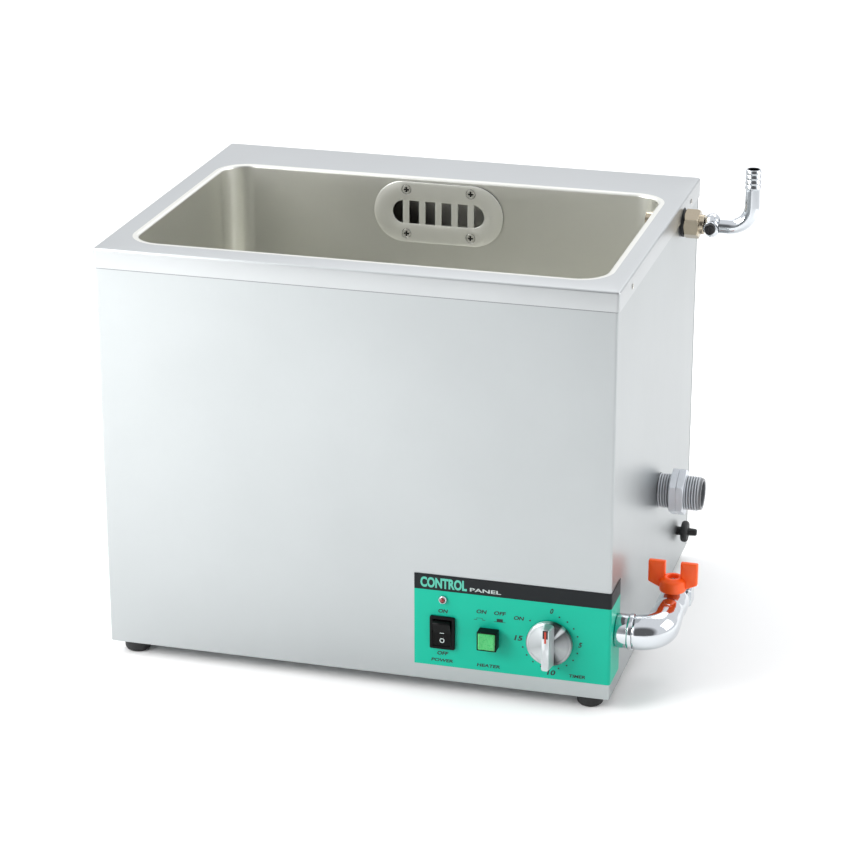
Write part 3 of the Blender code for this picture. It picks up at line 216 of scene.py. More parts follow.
def woven(grid, rows_close=False, columns_close=True):
    """Points and quads of a grid: (i, j), (i, j+1), (i+1, j+1), (i+1, j), closed where asked."""
    rows, columns = grid.shape[:2]
    i = np.arange(rows if rows_close else rows - 1)[:, None]
    j = np.arange(columns if columns_close else columns - 1)[None, :]
    up, over = (i + 1) % rows, (j + 1) % columns
    quads = np.stack([i * columns + j, i * columns + over, up * columns + over, up * columns + j], -1)
    return grid.reshape(-1, 3), quads.reshape(-1, 4)


def make_piece(name, *parts, sharp=SHARP, weld=2e-6):
    """One mesh from several (points, quads) sets. Poles and seams are welded, faces turned outwards,
    and edges that turn by more than `sharp` degrees stay crisp."""
    counts = np.cumsum([0] + [len(points) for points, _ in parts])
    mesh = bpy.data.meshes.new(name)
    mesh.from_pydata(np.concatenate([points for points, _ in parts]), [],
                     np.concatenate([quads + start for (_, quads), start in zip(parts, counts)]))
    bm = bmesh.new()
    bm.from_mesh(mesh)
    bmesh.ops.remove_doubles(bm, verts=bm.verts, dist=weld)
    bmesh.ops.dissolve_degenerate(bm, edges=bm.edges, dist=weld)
    bmesh.ops.recalc_face_normals(bm, faces=bm.faces)
    bm.to_mesh(mesh)
    bm.free()
    mesh.shade_smooth()
    mesh.set_sharp_from_angle(angle=math.radians(sharp))
    return placed(name, mesh)


def coat(piece, material):
    """Give an object its one material."""
    piece.data.materials.clear()
    piece.data.materials.append(material)


def fit(piece, material, body, slot, *nodes):
    """Give a finished piece its material and its body, and hide the CAD nodes it stands for. Its slot is not
    used.
    """
    coat(piece, material)
    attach(piece, body)
    if nodes:
        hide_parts(*nodes)


def turned(profile, ease, axis, centre, sides=FINE_SIDES, hollow=False):
    """A lathe shape: the (radius, depth) corners are eased and revolved; a hollow one closes on itself."""
    line = eased(profile, ease, closed=hollow)
    return woven(revolved(line[:, 0], line[:, 1], axis, centre, sides), rows_close=hollow)


def noise(tree, at, scale, detail=2.0, roughness=0.5):
    """Fractal noise at a position, as a value round one half."""
    return add_node(tree, "ShaderNodeTexNoise", {"Vector": at, "Scale": scale, "Detail": detail,
                                                 "Roughness": roughness}).outputs["Fac"]


def shaded(colour, share):
    """A colour's linear light times `share`, held at 1."""
    return [min(c * share, 1) for c in linear(colour)[:3]] + [1]


def graded(tree, value, stops, blend="LINEAR"):
    """The colour that a ramp of (place, linear colour) stops gives a value."""
    ramp = add_node(tree, "ShaderNodeValToRGB", {"Fac": value})
    ramp.color_ramp.interpolation = blend
    marks = ramp.color_ramp.elements
    for place, _ in stops[1:-1]:
        marks.new(place)
    for mark, (place, colour) in zip(marks, stops):
        mark.position, mark.color = place, colour
    return ramp.outputs["Color"]


def surfaced(made, skin=None, rough=None, height=None, relief=0.0, strength=1.0):
    """Feed a material's colour, its roughness and, through a bump `relief` metres deep, its normal."""
    tree = made.node_tree
    sockets = {"Base Color": skin, "Roughness": rough}
    if height:
        sockets["Normal"] = add_node(tree, "ShaderNodeBump", {"Height": height, "Distance": relief,
                                                              "Strength": strength}).outputs["Normal"]
    for name, value in sockets.items():
        if value:
            tree.links.new(value, tree.nodes["Principled BSDF"].inputs[name])
    return made


def moulded(name, colour, roughness, grain, relief, **constants):
    """A moulded plastic or rubber skin: noise of period `grain` metres gives the mould's texture as
    bump and roughness, and a wider noise shifts the colour."""
    made, tree, at = new_material(name, colour, roughness, **constants)
    fine = noise(tree, at, 1 / grain, 3.0, 0.6)
    skin = graded(tree, noise(tree, at, 0.08 / grain),
                  ((0.3, shaded(colour, 1 - MOTTLE)), (0.7, shaded(colour, 1 + MOTTLE))))
    rough = spread(tree, fine, roughness - 0.07, roughness + 0.07)
    return surfaced(made, skin, rough, fine, relief, 0.6)


# Nitrile rubber, compression-moulded: almost black, matt, with a fine even grain.
rubber = moulded("moulded_nitrile_rubber", "#1C1D1E", 0.62, 0.0011, 0.00008)

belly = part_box("casing")[0].z
for foot in ("foot_front_left", "foot_front_right", "foot_rear_left", "foot_rear_right"):
    low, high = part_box(foot)
    reach = (high.x - low.x) / 2
    line = [(0, low.z + 0.0012), (FOOT_SOLE - 0.003, low.z + 0.0010), (FOOT_SOLE - 0.002, low.z),
            (FOOT_SOLE, low.z), (reach - 0.0006, low.z + 0.0022), (reach, belly - 0.0045),
            (reach - 0.0006, belly - 0.0003), (STEM_R, belly - 0.0003), (STEM_R, high.z - 0.0012),
            (STEM_R - 0.001, high.z), (0, high.z)]
    ease = [0, 0.0004, 0.0003, 0.0010, 0.0015, 0.002, 0.0005, 0.0002, 0.0003, 0.0003, 0]
    fit(make_piece(foot.replace("foot", "rubber_foot"), turned(line, ease, "Z", line_through(foot, "Z"))),
        rubber, "cabinet", "black_rubber", foot)


# Base plate --------------------------------------------------------------------------------------
# A shallow tray of hot-dip galvanised steel, folded up at its edges and screwed inside the casing.
# The zinc freezes in flat crystals, the spangle, about 8 mm across, each a slightly different grey.

SPANGLE = 0.008


def galvanised(name):
    """Cells of a Voronoi pattern give each zinc crystal its own grey and roughness."""
    made, tree, at = new_material(name, "#A9ADAD", 0.42, 1.0)
    crystal = add_node(tree, "ShaderNodeTexVoronoi", {"Vector": at, "Scale": 1 / SPANGLE})
    chance = add_node(tree, "ShaderNodeSeparateColor", {"Color": crystal.outputs["Color"]}).outputs
    skin = graded(tree, chance["Red"], ((0, linear("#92979A")), (1, linear("#BABEBF"))))
    return surfaced(made, skin, spread(tree, chance["Green"], 0.30, 0.55))


def dress(material, *nodes):
    """Give CAD nodes that keep their shape their finish."""
    for name in nodes:
        coat(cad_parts[name], material)


zinc = galvanised("hot_dip_galvanised_sheet")
dress(zinc, "base_plate")


# Casing ------------------------------------------------------------------------------------------
# Front and side walls folded from one 1.2 mm sheet of cold-rolled stainless steel, with flanges
# turned in at the back. The mill finish is a dull silver that the last rolling pass leaves.

SHEET = 0.0012
BEND = 0.0026            # outer radius of a folded corner
FLANGE = 0.014
GRIME = 0.0016           # height of the painted shade line under the cover's hem
GRAIN_ACROSS, GRAIN_ALONG = 0.0009, 0.045


def at_height(plan, z):
    """Plan points (x, y) lifted to height z."""
    return np.column_stack([plan, np.full(len(plan), z)])


def strip(path, thickness, low, high):
    """A wall: the path (x, y) is its outer face, the inner face lies `thickness` to its left, and
    both run from `low` to `high`. Rows go round the section, columns along the path."""
    step = np.gradient(path, axis=0)
    step /= np.linalg.norm(step, axis=1)[:, None]
    inner = path + np.stack([-step[:, 1], step[:, 0]], 1) * thickness
    grid = np.stack([at_height(*row) for row in ((path, low), (path, high), (inner, high), (inner, low))])
    points, quads = woven(grid, rows_close=True, columns_close=False)
    start = np.arange(4) * len(path)
    return points, np.concatenate([quads, [start, start + len(path) - 1]])


def bar(x, y, z, ease=1e-6):
    """A block from its three ranges, with its upright edges and rims eased: rings of a rounded
    rectangle are stacked from a pole at one end to a pole at the other."""
    ring = eased([(x[0], y[0]), (x[1], y[0]), (x[1], y[1]), (x[0], y[1])], ease, 3, closed=True)
    middle = np.array([x[0] + x[1], y[0] + y[1]]) / 2
    tight = middle + (ring - middle) * (1 - ease / np.array([x[1] - x[0], y[1] - y[0]]) * 2)
    flat = middle + 0 * ring
    rows = [(flat, z[0]), (tight, z[0]), (ring, z[0] + ease),
            (ring, z[1] - ease), (tight, z[1]), (flat, z[1])]
    return woven(np.stack([at_height(*row) for row in rows]))


def carve(piece, *tools):
    """Cut closed shapes out of a piece with the exact Boolean, then apply the cuts."""
    for number, tool in enumerate(tools):
        cutter = make_piece(f"cutter_{number}", tool)
        step = piece.modifiers.new("cut", "BOOLEAN")
        step.operation = "DIFFERENCE"
        step.solver = "EXACT"
        step.object = cutter
        bpy.context.view_layer.update()
        graph = bpy.context.evaluated_depsgraph_get()
        piece.data = bpy.data.meshes.new_from_object(piece.evaluated_get(graph))
        piece.modifiers.clear()
        bpy.data.objects.remove(cutter, do_unlink=True)
    piece.data.shade_smooth()
    piece.data.set_sharp_from_angle(angle=math.radians(SHARP))


def drill(node, radius, axis, depth, sides=48):
    """A cutting rod on a CAD node's middle, from depth[0] to depth[1] along an axis."""
    depths = [depth[0], depth[0], depth[1], depth[1]]
    return woven(revolved([0, radius, radius, 0], depths, axis, line_through(node, axis), sides))


def coordinate(tree, at, axis):
    """One coordinate of a position."""
    return add_node(tree, "ShaderNodeSeparateXYZ", {"Vector": at}).outputs[axis]


def grimed(tree, at, skin, axis, clean, dirty, left):
    """Painted shade: multiply a colour by a share that falls from 1 at the unshaded place to `left` at the
    place of full shade along an axis.
    """
    share = spread(tree, coordinate(tree, at, axis), 1.0, left, clean, dirty)
    return vector_step(tree, "MULTIPLY", skin, share)["Vector"]


def rolled_stainless(name, colour, roughness, along, grime=None):
    """Cold-rolled stainless. Noise stretched along the rolling direction marks the grain in bump and
    roughness; real grain is near 0.1 mm wide and is drawn 0.9 mm wide so that it shows. A wide noise
    is the sheet's slight unevenness. The last argument, if given, is an axis and the places on it
    where a line of painted shade starts and is full."""
    made, tree, at = new_material(name, colour, roughness, 1.0)
    stretch = [1 / GRAIN_ACROSS] * 3
    stretch["XYZ".index(along)] = 1 / GRAIN_ALONG
    lay = add_node(tree, "ShaderNodeMapping", {"Vector": at, "Scale": stretch})
    grain = noise(tree, lay.outputs["Vector"], 1.0, 4.0, 0.65)
    skin = graded(tree, noise(tree, at, 7.0), ((0.35, shaded(colour, 0.965)), (0.65, linear(colour))))
    if grime:
        skin = grimed(tree, at, skin, *grime, 0.3)
    rough = spread(tree, grain, roughness - 0.05, roughness + 0.05)
    return surfaced(made, skin, rough, grain, 0.00002, 0.5)


case_low, case_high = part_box("casing")
cover_low, cover_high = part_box("top_cover")
label_low, label_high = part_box("control_label")
case_left, case_right, case_front, case_back = case_low.x, case_high.x, case_low.y, case_high.y
# Mill-finish stainless, rolled upwards along the walls: dull, even, cool silver, with a line of painted shade
# just under the cover's hem.
wall_steel = rolled_stainless("cold_rolled_stainless_walls", "#B0B4B5", 0.36, "Z",
                              ("Z", cover_low.z - GRIME, cover_low.z - 0.3 * GRIME))
fold = eased([(case_left + FLANGE, case_back), (case_left, case_back), (case_left, case_front),
              (case_right, case_front), (case_right, case_back), (case_right - FLANGE, case_back)],
             BEND, 6)
casing = make_piece("folded_casing", strip(fold, SHEET, case_low.z, case_high.z))
wall_x = (case_right - 0.004, case_right + 0.002)
wall_y = (case_front - 0.002, case_front + 0.004)
rocker_low, rocker_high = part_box("power_switch_housing")
push_low, push_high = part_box("heater_switch_housing")


def shrunk(low, high, by):
    """A range made smaller by the same amount at both ends."""
    return (low + by, high - by)


carve(casing,
      bar(shrunk(rocker_low.x, rocker_high.x, 0.0012), wall_y, shrunk(rocker_low.z, rocker_high.z, 0.0014)),
      bar(shrunk(push_low.x, push_high.x, 0.0012), wall_y, shrunk(push_low.z, push_high.z, 0.0012)),
      drill("pilot_lamp_bezel", 0.0036, "Y", wall_y), drill("timer_shaft", 0.0050, "Y", wall_y),
      drill("drain_collar", 0.0098, "X", wall_x), drill("overflow_fitting", 0.0175, "X", wall_x),
      drill("cord_gland", 0.0048, "X", wall_x), drill("inlet_spigot", 0.0086, "X", wall_x))
fit(casing, wall_steel, "cabinet", "brushed_stainless", "casing")


# Back panel --------------------------------------------------------------------------------------
# A flat stainless sheet, screwed to the casing's rear flanges, laser-cut with a round of slots for
# the fan and two columns of vents.

dress(wall_steel, "back_panel")


# Tank --------------------------------------------------------------------------------------------
# The tank is pressed and welded from stainless sheet, with wide corner radii and a rolled lip that
# stands on the cover's opening. Its inside is pickled: a warmer, slightly streaked grey.

CORNER = 0.027           # inside radius of an upright corner
HEEL = 0.012             # radius between wall and floor
LIP_R, LIP_W = 0.0025, 0.006


def rounded_ring(x, y, radius, steps=14):
    """A rectangle's outline with quarter-circle corners of `radius`, anticlockwise: each corner's
    angles run over 90 degrees round its own centre."""
    turn = np.linspace(0, np.pi / 2, steps + 1)[None, :] + np.arange(4)[:, None] * np.pi / 2
    centre_x = np.array([x[1] - radius, x[0] + radius, x[0] + radius, x[1] - radius])[:, None]
    centre_y = np.array([y[1] - radius, y[1] - radius, y[0] + radius, y[0] + radius])[:, None]
    return np.stack([centre_x + radius * np.cos(turn), centre_y + radius * np.sin(turn)], -1).reshape(-1, 2)


def grown(x, y, by):
    """A rectangle's two ranges, made wider by the same amount all round."""
    return (x[0] - by, x[1] + by), (y[0] - by, y[1] + by)


def arc(centre, radius, start, end, steps=8):
    """Points at radius r from a centre, at angles spread evenly from start to end, in degrees."""
    t = np.radians(np.linspace(start, end, steps + 1))
    return np.column_stack([centre[0] + radius * np.cos(t), centre[1] + radius * np.sin(t)])


tank_low, tank_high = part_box("tank")
tank_x = (tank_low.x + LIP_W, tank_high.x - LIP_W)
tank_y = (tank_low.y + LIP_W, tank_high.y - LIP_W)
rim, tank_floor = tank_high.z, tank_low.z + SHEET
section = np.concatenate([
    arc((-HEEL, tank_floor + HEEL), HEEL + SHEET, -90, 0),
    arc((LIP_R, rim - LIP_R), LIP_R - SHEET, 180, 90, 4),
    [(LIP_W, rim - SHEET), (LIP_W, rim)],
    arc((LIP_R, rim - LIP_R), LIP_R, 90, 180),
    arc((-HEEL, tank_floor + HEEL), HEEL, 0, -90)])
rings = np.stack([at_height(rounded_ring(*grown(tank_x, tank_y, out), CORNER + out), z)
                  for out, z in section])
bowl_middle = ((tank_x[0] + tank_x[1]) / 2, (tank_y[0] + tank_y[1]) / 2)
under, over = (np.broadcast_to((*bowl_middle, z), (1, *rings.shape[1:])) for z in (tank_low.z, tank_floor))
tank = make_piece("welded_tank", woven(np.concatenate([under, rings, over])))
grille_low, grille_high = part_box("overflow_grille")
grille_x, grille_z = (grille_low.x + grille_high.x) / 2, (grille_low.z + grille_high.z) / 2
back_wall = (tank_y[1] - 0.003, tank_y[1] + 0.005)
drain_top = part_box("drain_pipe")
drain_x, drain_y = drain_top[0].x + 0.009, drain_top[1].y - 0.009
carve(tank,
      bar((grille_x - 0.052, grille_x + 0.052), back_wall, (grille_z - 0.016, grille_z + 0.016)),
      woven(revolved([0, 0.008, 0.008, 0], [tank_low.z - 0.004] * 2 + [tank_floor + 0.004] * 2, "Z",
                     (drain_x, drain_y, 0), 48)),
      drill("inlet_spigot", 0.0086, "X", (tank_x[1] - 0.004, tank_x[1] + 0.004)))
# Pickled stainless with the roll marks running down the walls, warmer than the mill finish outside.
bowl_steel = rolled_stainless("pickled_stainless_tank", "#E5E5DF", 0.30, "Z")
fit(tank, bowl_steel, "cabinet", "tank_stainless", "tank")


# Sounders and heating under the tank -------------------------------------------------------------
# Six sandwich transducers are glued under the floor: a flared aluminium horn, two ceramic rings and
# a steel back mass on one bolt. Silicone heater mats are glued to the end walls, and a disc
# thermostat is clipped to the front one.

LATHE_FEED = 0.0005


def banded(name, bands, low, high, roughness):
    """Turned metal whose colour changes with height: each band is (height, colour), over the fine
    rings of the lathe's feed."""
    made, tree, at = new_material(name, bands[0][1], roughness, 0.9)
    height = spread(tree, coordinate(tree, at, "Z"), 0.0, 1.0, low, high)
    stops = [((start - low) / (high - low), linear(colour)) for start, colour in bands]
    skin = graded(tree, height, stops + [(1.0, stops[-1][1])], "CONSTANT")
    feed = add_node(tree, "ShaderNodeTexWave", {"Vector": at, "Scale": 0.16 / LATHE_FEED, "Distortion": 0.4},
                    bands_direction="Z")
    return surfaced(made, skin, height=feed.outputs["Fac"], relief=0.00002)


stack_low, stack_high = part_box("transducer_1")
# Aluminium horn, white piezo rings and zinc-plated back mass, all turned on a lathe.
stack = banded("turned_transducer_stack",
               ((stack_low.z, "#8E9294"), (stack_high.z - 0.0357, "#D9D4C3"),
                (stack_high.z - 0.0243, "#B9BCBE")),
               stack_low.z, stack_high.z, 0.38)
dress(stack, *(f"transducer_{i}" for i in range(1, 7)))
# Silicone rubber on glass cloth, cured between plates: brick red, matt, with the cloth showing.
silicone = moulded("glass_cloth_silicone_mat", "#B5502E", 0.60, 0.0015, 0.0001)
dress(silicone, "heater_mat_left", "heater_mat_right")
# Phenolic, compression-moulded: black with a dull gloss.
phenolic = moulded("moulded_black_phenolic", "#1B1A19", 0.40, 0.0008, 0.00003)
dress(phenolic, "thermostat")


# Overflow grille, its screws and the box behind --------------------------------------------------
# A punched stadium of 1.8 mm stainless with five upright bars, held over a window in the tank's
# back wall by four countersunk cross-head screws. The folded box behind it gathers the overflow.

WINDOW_R = 0.012         # half the height of the grille's window
BAR_W, BAR_PITCH = 0.0068, 0.0169
SCREW_DX, SCREW_DZ = 0.0335, 0.023
SINK_R = 0.0053
HEAD_ROWS, HEAD_SIDES = 26, 96


def stadium_ring(middle, half, radii, depths, steps=40):
    """A closed section carried round a stadium: point = end centre + radius * (cos t, sin t), where
    the end centre is +half for the right-hand turn and -half for the left-hand one."""
    half_turn = np.linspace(-np.pi / 2, np.pi / 2, steps)
    t = np.concatenate([half_turn, half_turn + np.pi])
    shift = np.repeat([half, -half], steps)
    r = np.asarray(radii)[:, None]
    grid = np.stack([middle[0] + shift + r * np.cos(t), np.asarray(depths)[:, None] + 0 * r * t,
                     middle[1] + r * np.sin(t)], -1)
    return woven(grid, rows_close=True)


def cross_head(axis, centre, out, radius, dome, flank, recess):
    """A screw: rows run from the head's middle to its rim, down the flank and in to a pole. The head
    bulges as dome * (1 - (r / R)^2), and a cross of two slots sinks where |x| or |y| is small."""
    share = np.linspace(0, 1, HEAD_ROWS)
    r = np.concatenate([radius * share, [p[0] for p in flank], [0]])
    d = np.concatenate([dome * (1 - share ** 2), [p[1] for p in flank], [flank[-1][1]]])
    t = around(HEAD_SIDES)
    x, y = np.abs(r[:, None] * np.cos(t)), np.abs(r[:, None] * np.sin(t))
    half, arm = radius * 0.17, radius * 0.66
    slot = np.clip((half - np.minimum(x, y)) / (half * 0.4) + 0.5, 0, 1)
    slot *= np.clip((arm - np.maximum(x, y)) / (arm * 0.25), 0, 1)
    depth = d[:, None] - recess * slot * (np.arange(len(r)) < HEAD_ROWS)[:, None]
    return woven(revolved(r, out * depth, axis, centre, HEAD_SIDES))


outer_r = (grille_high.z - grille_low.z) / 2
half_core = (grille_high.x - grille_low.x) / 2 - outer_r
rim_line = eased([(WINDOW_R, grille_low.y), (outer_r, grille_low.y), (outer_r, grille_high.y),
                  (WINDOW_R, grille_high.y)], [0.0002, 0.0003, 0.0001, 0.0001], 3, closed=True)
plate = make_piece("punched_grille",
                   stadium_ring((grille_x, grille_z), half_core, rim_line[:, 0], rim_line[:, 1]))
sink_y = (grille_low.y - 0.0005, grille_low.y - 0.0005, grille_low.y, *[grille_high.y + 0.0005] * 2)
carve(plate, *(woven(revolved([0, SINK_R, SINK_R, 0.0034, 0], sink_y, "Y", (grille_x + dx, 0, grille_z + dz)))
               for dx in (-SCREW_DX, SCREW_DX) for dz in (-SCREW_DZ, SCREW_DZ)))
bars = make_piece("grille_bars", *(
    bar((x - BAR_W / 2, x + BAR_W / 2), (grille_low.y + 0.00005, grille_high.y),
        (grille_z - WINDOW_R - 0.0006, grille_z + WINDOW_R + 0.0006), 0.0002)
    for x in grille_x + BAR_PITCH * np.arange(-2, 3)))
# Same sheet as the tank, with its grain along the plate and a little brighter from polishing. Its rims and
# the bars' sides behind the front face carry painted shade.
plate_steel = rolled_stainless("polished_stainless_plate", "#F6F6F1", 0.32, "X",
                               ("Y", grille_low.y + 0.0003, grille_low.y + 0.0005))
fit(plate, plate_steel, "cabinet", "tank_stainless", "overflow_grille")
fit(bars, plate_steel, "cabinet", "tank_stainless")


def cold_headed(name, colour, roughness, grime=None):
    """Cold-headed stainless wire: bright, with faint scuffs from the driver and the die. The last
    argument, if given, is an axis and the places on it where painted shade in the recess starts and is full."""
    made, tree, at = new_material(name, colour, roughness, 1.0)
    skin = grimed(tree, at, linear(colour)[:3], *grime, 0.08) if grime else None
    return surfaced(made, skin, spread(tree, noise(tree, at, 900.0, 4.0), roughness - 0.08, roughness + 0.14))


# A2 stainless screws, cold-headed and tumbled; those in the tank have painted shade in their recesses.
screw_steel = cold_headed("cold_headed_stainless", "#D2D1CC", 0.24)
tank_screw_steel = cold_headed("cold_headed_stainless_shaded_recess", "#DDDCD7", 0.24,
                               ("Y", grille_low.y + 0.0001, grille_low.y + 0.0005))
for number in range(1, 5):
    node = f"grille_screw_{number}"
    x, _, z = line_through(node, "Y")
    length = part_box(node)[1].y - grille_low.y
    flank = [(0.0047, -0.0001), (0.0030, -0.0018), (0.0020, -0.0022), (0.0020, -length)]
    fit(make_piece(f"countersunk_screw_{number}",
                   cross_head("Y", (x, grille_low.y, z), -1, 0.0046, 0.0002, flank, 0.0012)),
        tank_screw_steel, "cabinet", "chrome_plate", node)
dress(bowl_steel, "overflow_box")
# Plasticised PVC hose, extruded: milky grey, waxy.
hose = moulded("extruded_pvc_hose", "#C9CEC8", 0.35, 0.004, 0.00005)
dress(hose, "overflow_hose")


# Top cover and its screws ------------------------------------------------------------------------
# One stainless sheet, cut open for the tank and folded down all round into a skirt. Its corners are
# welded and dressed. Four small pan-head screws hold the skirt to the walls.

COVER_CORNER, COVER_BEND = 0.0030, 0.0020

cover_x, cover_y = (cover_low.x, cover_high.x), (cover_low.y, cover_high.y)
top, hem = cover_high.z, cover_low.z
fold_centre = (-COVER_BEND, top - COVER_BEND)
outer = [*arc(fold_centre, COVER_BEND, 90, 0, 6), (0, hem), (-SHEET, hem),
         *arc(fold_centre, COVER_BEND - SHEET, 0, 90, 3)]
mouth = rounded_ring(*grown(tank_x, tank_y, LIP_W), CORNER + LIP_W)
rings = [at_height(mouth, z) for z in (top - SHEET, top)]
rings += [at_height(rounded_ring(*grown(cover_x, cover_y, out), max(COVER_CORNER + out, 0.0008)), z)
          for out, z in outer]
cover = make_piece("folded_cover", woven(np.stack(rings), rows_close=True))
gasket_low, gasket_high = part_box("inlet_gasket")
carve(cover, drill("inlet_gasket", (gasket_high.y - gasket_low.y) / 2 + 0.0008, "X",
                   (cover_high.x - 0.003, cover_high.x + 0.002), 64))
# The same mill-finish sheet with its rolling direction along the cleaner.
cover_steel = rolled_stainless("cold_rolled_stainless_cover", "#BBBEBF", 0.34, "X")
fit(cover, cover_steel, "cabinet", "brushed_stainless", "top_cover")

for side, way, face in (("left", -1, cover_low.x), ("right", 1, cover_high.x)):
    for end in ("front", "rear"):
        node = f"skirt_screw_{end}_{side}"
        _, y, z = line_through(node, "X")
        flank = [(0.0028, 0.0003), (0.0028, 0), (0.0015, 0), (0.0015, -0.007)]
        line = cross_head("X", (face, y, z), way, 0.0027, 0.0008, flank, 0.0007)
        fit(make_piece(f"pan_head_{end}_{side}", (line[0] + (way * 0.0003, 0, 0), line[1])),
            screw_steel, "cabinet", "chrome_plate", node)


# Overflow outlet ---------------------------------------------------------------------------------
# A grey PVC tank fitting, injection-moulded: a one-inch threaded pipe with a hexagon on it, drawn
# against the wall by a hexagon locknut. The threads are moulded slightly round.

THREAD_PITCH, THREAD_DEPTH = 0.0026, 0.0015
HEX_AF, OUTLET_R, OUTLET_BORE = 0.042, 0.0172, 0.0128
CHAMFER = math.radians(30)


def threaded_tube(axis, centre, start, end, radius, bore, pitch, depth, sides=96):
    """A screw thread: radius = crest - depth * w(x / pitch - t / 2 pi), where w rises and falls
    between rounded crests and roots. The rows then close round the end and back down the bore."""
    x = np.arange(start, end - 0.0012, pitch / 9)
    t = np.arange(sides) / sides
    phase = (x[:, None] / pitch - t) % 1
    wave = np.clip(np.abs(phase - 0.5) * 2.6 - 0.3, 0, 1)
    wave = wave ** 2 * (3 - 2 * wave)
    fade = np.clip((end - 0.0015 - x) / pitch, 0, 1)[:, None]
    outer_rows = radius - depth * (1 - (1 - wave) * fade)
    rim_r = np.array([radius - depth - 0.0003, bore + 0.0006, bore, bore])
    rim_x = np.array([end, end, end - 0.0006, start])
    r = np.concatenate([outer_rows, rim_r[:, None] * np.ones(sides)])
    d = np.concatenate([x[:, None] * np.ones(sides), rim_x[:, None] * np.ones(sides)])
    return woven(revolved(r, d, axis, centre, sides), rows_close=True)


def hex_ring(axis, centre, low, high, across, bore, cone_at=0.545, sides=96, steps=10):
    """A chamfered hexagon nut: radius = min(af / 2 / cos(u), cone), with u the angle from the nearest
    flat's middle and the cone a chamfer that starts at cone_at * af on both faces."""
    u = ((around(sides) + np.pi / 6) % (np.pi / 3)) - np.pi / 6
    flat = across / 2 / np.cos(u)
    rise = (across / math.sqrt(3) - across * cone_at) * math.tan(CHAMFER)
    d = np.concatenate([np.linspace(low, low + rise, steps), np.linspace(high - rise, high, steps)])
    cone = across * cone_at + np.minimum(d - low, high - d)[:, None] / math.tan(CHAMFER)
    r = np.concatenate([np.minimum(flat, cone), np.full((2, sides), bore)])
    return woven(revolved(r, [*d, high, low], axis, centre, sides), rows_close=True)


pipe_low, pipe_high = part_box("overflow_fitting")
nut_low, nut_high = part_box("overflow_locknut")
outlet = line_through("overflow_fitting", "X")
collar = (nut_high.x + 0.0003, nut_high.x + 0.0070)


def grooved_pvc(name, colour, roughness, middle, root, crest):
    """Moulded PVC with painted shade in its thread roots and bore: the colour darkens as the distance
    from the pipe's axis falls from the crest's radius to the root's."""
    made = moulded(name, colour, roughness, 0.0016, 0.00003)
    tree = made.node_tree
    clean = tree.nodes["Principled BSDF"].inputs["Base Color"].links[0].from_socket
    at = add_node(tree, "ShaderNodeTexCoord").outputs["Object"]
    moved = add_node(tree, "ShaderNodeMapping", {"Vector": at, "Location": (0, -middle[1], -middle[2]),
                                                 "Scale": (0, 1, 1)}).outputs["Vector"]
    share = spread(tree, vector_step(tree, "LENGTH", moved)["Value"], 0.22, 1.0, root, crest)
    return surfaced(made, vector_step(tree, "MULTIPLY", clean, share)["Vector"])


# PVC-U, injection-moulded: blue grey, satin, with a soft skin where the mould was polished, and painted shade
# in its thread roots and bore.
pvc = grooved_pvc("moulded_grey_pvc", "#DFE4EA", 0.34, outlet, OUTLET_R - THREAD_DEPTH, OUTLET_R + 0.0006)
fitting = make_piece("threaded_outlet",
                     threaded_tube("X", outlet, pipe_low.x, pipe_high.x, OUTLET_R, OUTLET_BORE,
                                   THREAD_PITCH, THREAD_DEPTH),
                     hex_ring("X", outlet, *collar, HEX_AF, OUTLET_R - 0.002))
fit(fitting, pvc, "cabinet", "grey_pvc", "overflow_fitting")
fit(make_piece("outlet_locknut", hex_ring("X", outlet, nut_low.x, nut_high.x, HEX_AF, OUTLET_R + 0.0003)),
    pvc, "cabinet", "grey_pvc", "overflow_locknut")


# Cord gland --------------------------------------------------------------------------------------
# A moulded rubber grommet snapped into the wall; its collar and nose grip the mains lead.

gland_low, gland_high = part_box("cord_gland")
gland_at = line_through("cord_gland", "X")
hole = 0.0026
line = [(hole, gland_low.x), (0.0072, gland_low.x), (0.0072, case_right - SHEET - 0.0003),
        (0.0044, case_right - SHEET - 0.0003), (0.0044, case_right + 0.0045), (0.0098, case_right + 0.0045),
        (0.0110, case_right + 0.0062), (0.0110, case_right + 0.0092), (0.0098, case_right + 0.0110),
        (0.0040, case_right + 0.0110), (0.0036, gland_high.x - 0.0012), (0.0030, gland_high.x),
        (hole, gland_high.x)]
fit(make_piece("cord_grommet", turned(line, 0.0006, "X", gland_at, hollow=True)),
    rubber, "cabinet", "black_rubber", "cord_gland")


# Water inlet -------------------------------------------------------------------------------------
# Feed water comes through a barbed pipe that swivels in a small cock. A nickel-plated brass adapter
# and a rubber gasket seal it against the wall; the cock and the pipe are chromed brass.

BARBS, BARB_PITCH, BARB_R = 4, 0.0050, 0.0079
BARB_TOP = 0.24          # share of its pitch at which a barb is widest
PIPE_R, PIPE_BORE, PIPE_BEND = 0.0074, 0.0058, 0.022
NECK_R = 0.0098
COCK_TURN = 54           # degrees of its ball on either side of its widest place


def bent_tube(path, radii, bore, level, sides=48):
    """A hollow tube along a plane curve. Ring point = p + r (cos t n + sin t b), with b the plane's
    own normal `level` and n square to it and to the path's direction."""
    step = np.gradient(path, axis=0)
    step /= np.linalg.norm(step, axis=1)[:, None]
    b = np.asarray(level, float)
    n = np.cross(b, step)
    t = around(sides)[None, :, None]
    spokes = n[:, None] * np.cos(t) + b * np.sin(t)
    outside = path[:, None] + spokes * np.asarray(radii)[:, None, None]
    inside = (path[:, None] + spokes * bore)[::-1]
    return woven(np.concatenate([outside, inside]), rows_close=True)


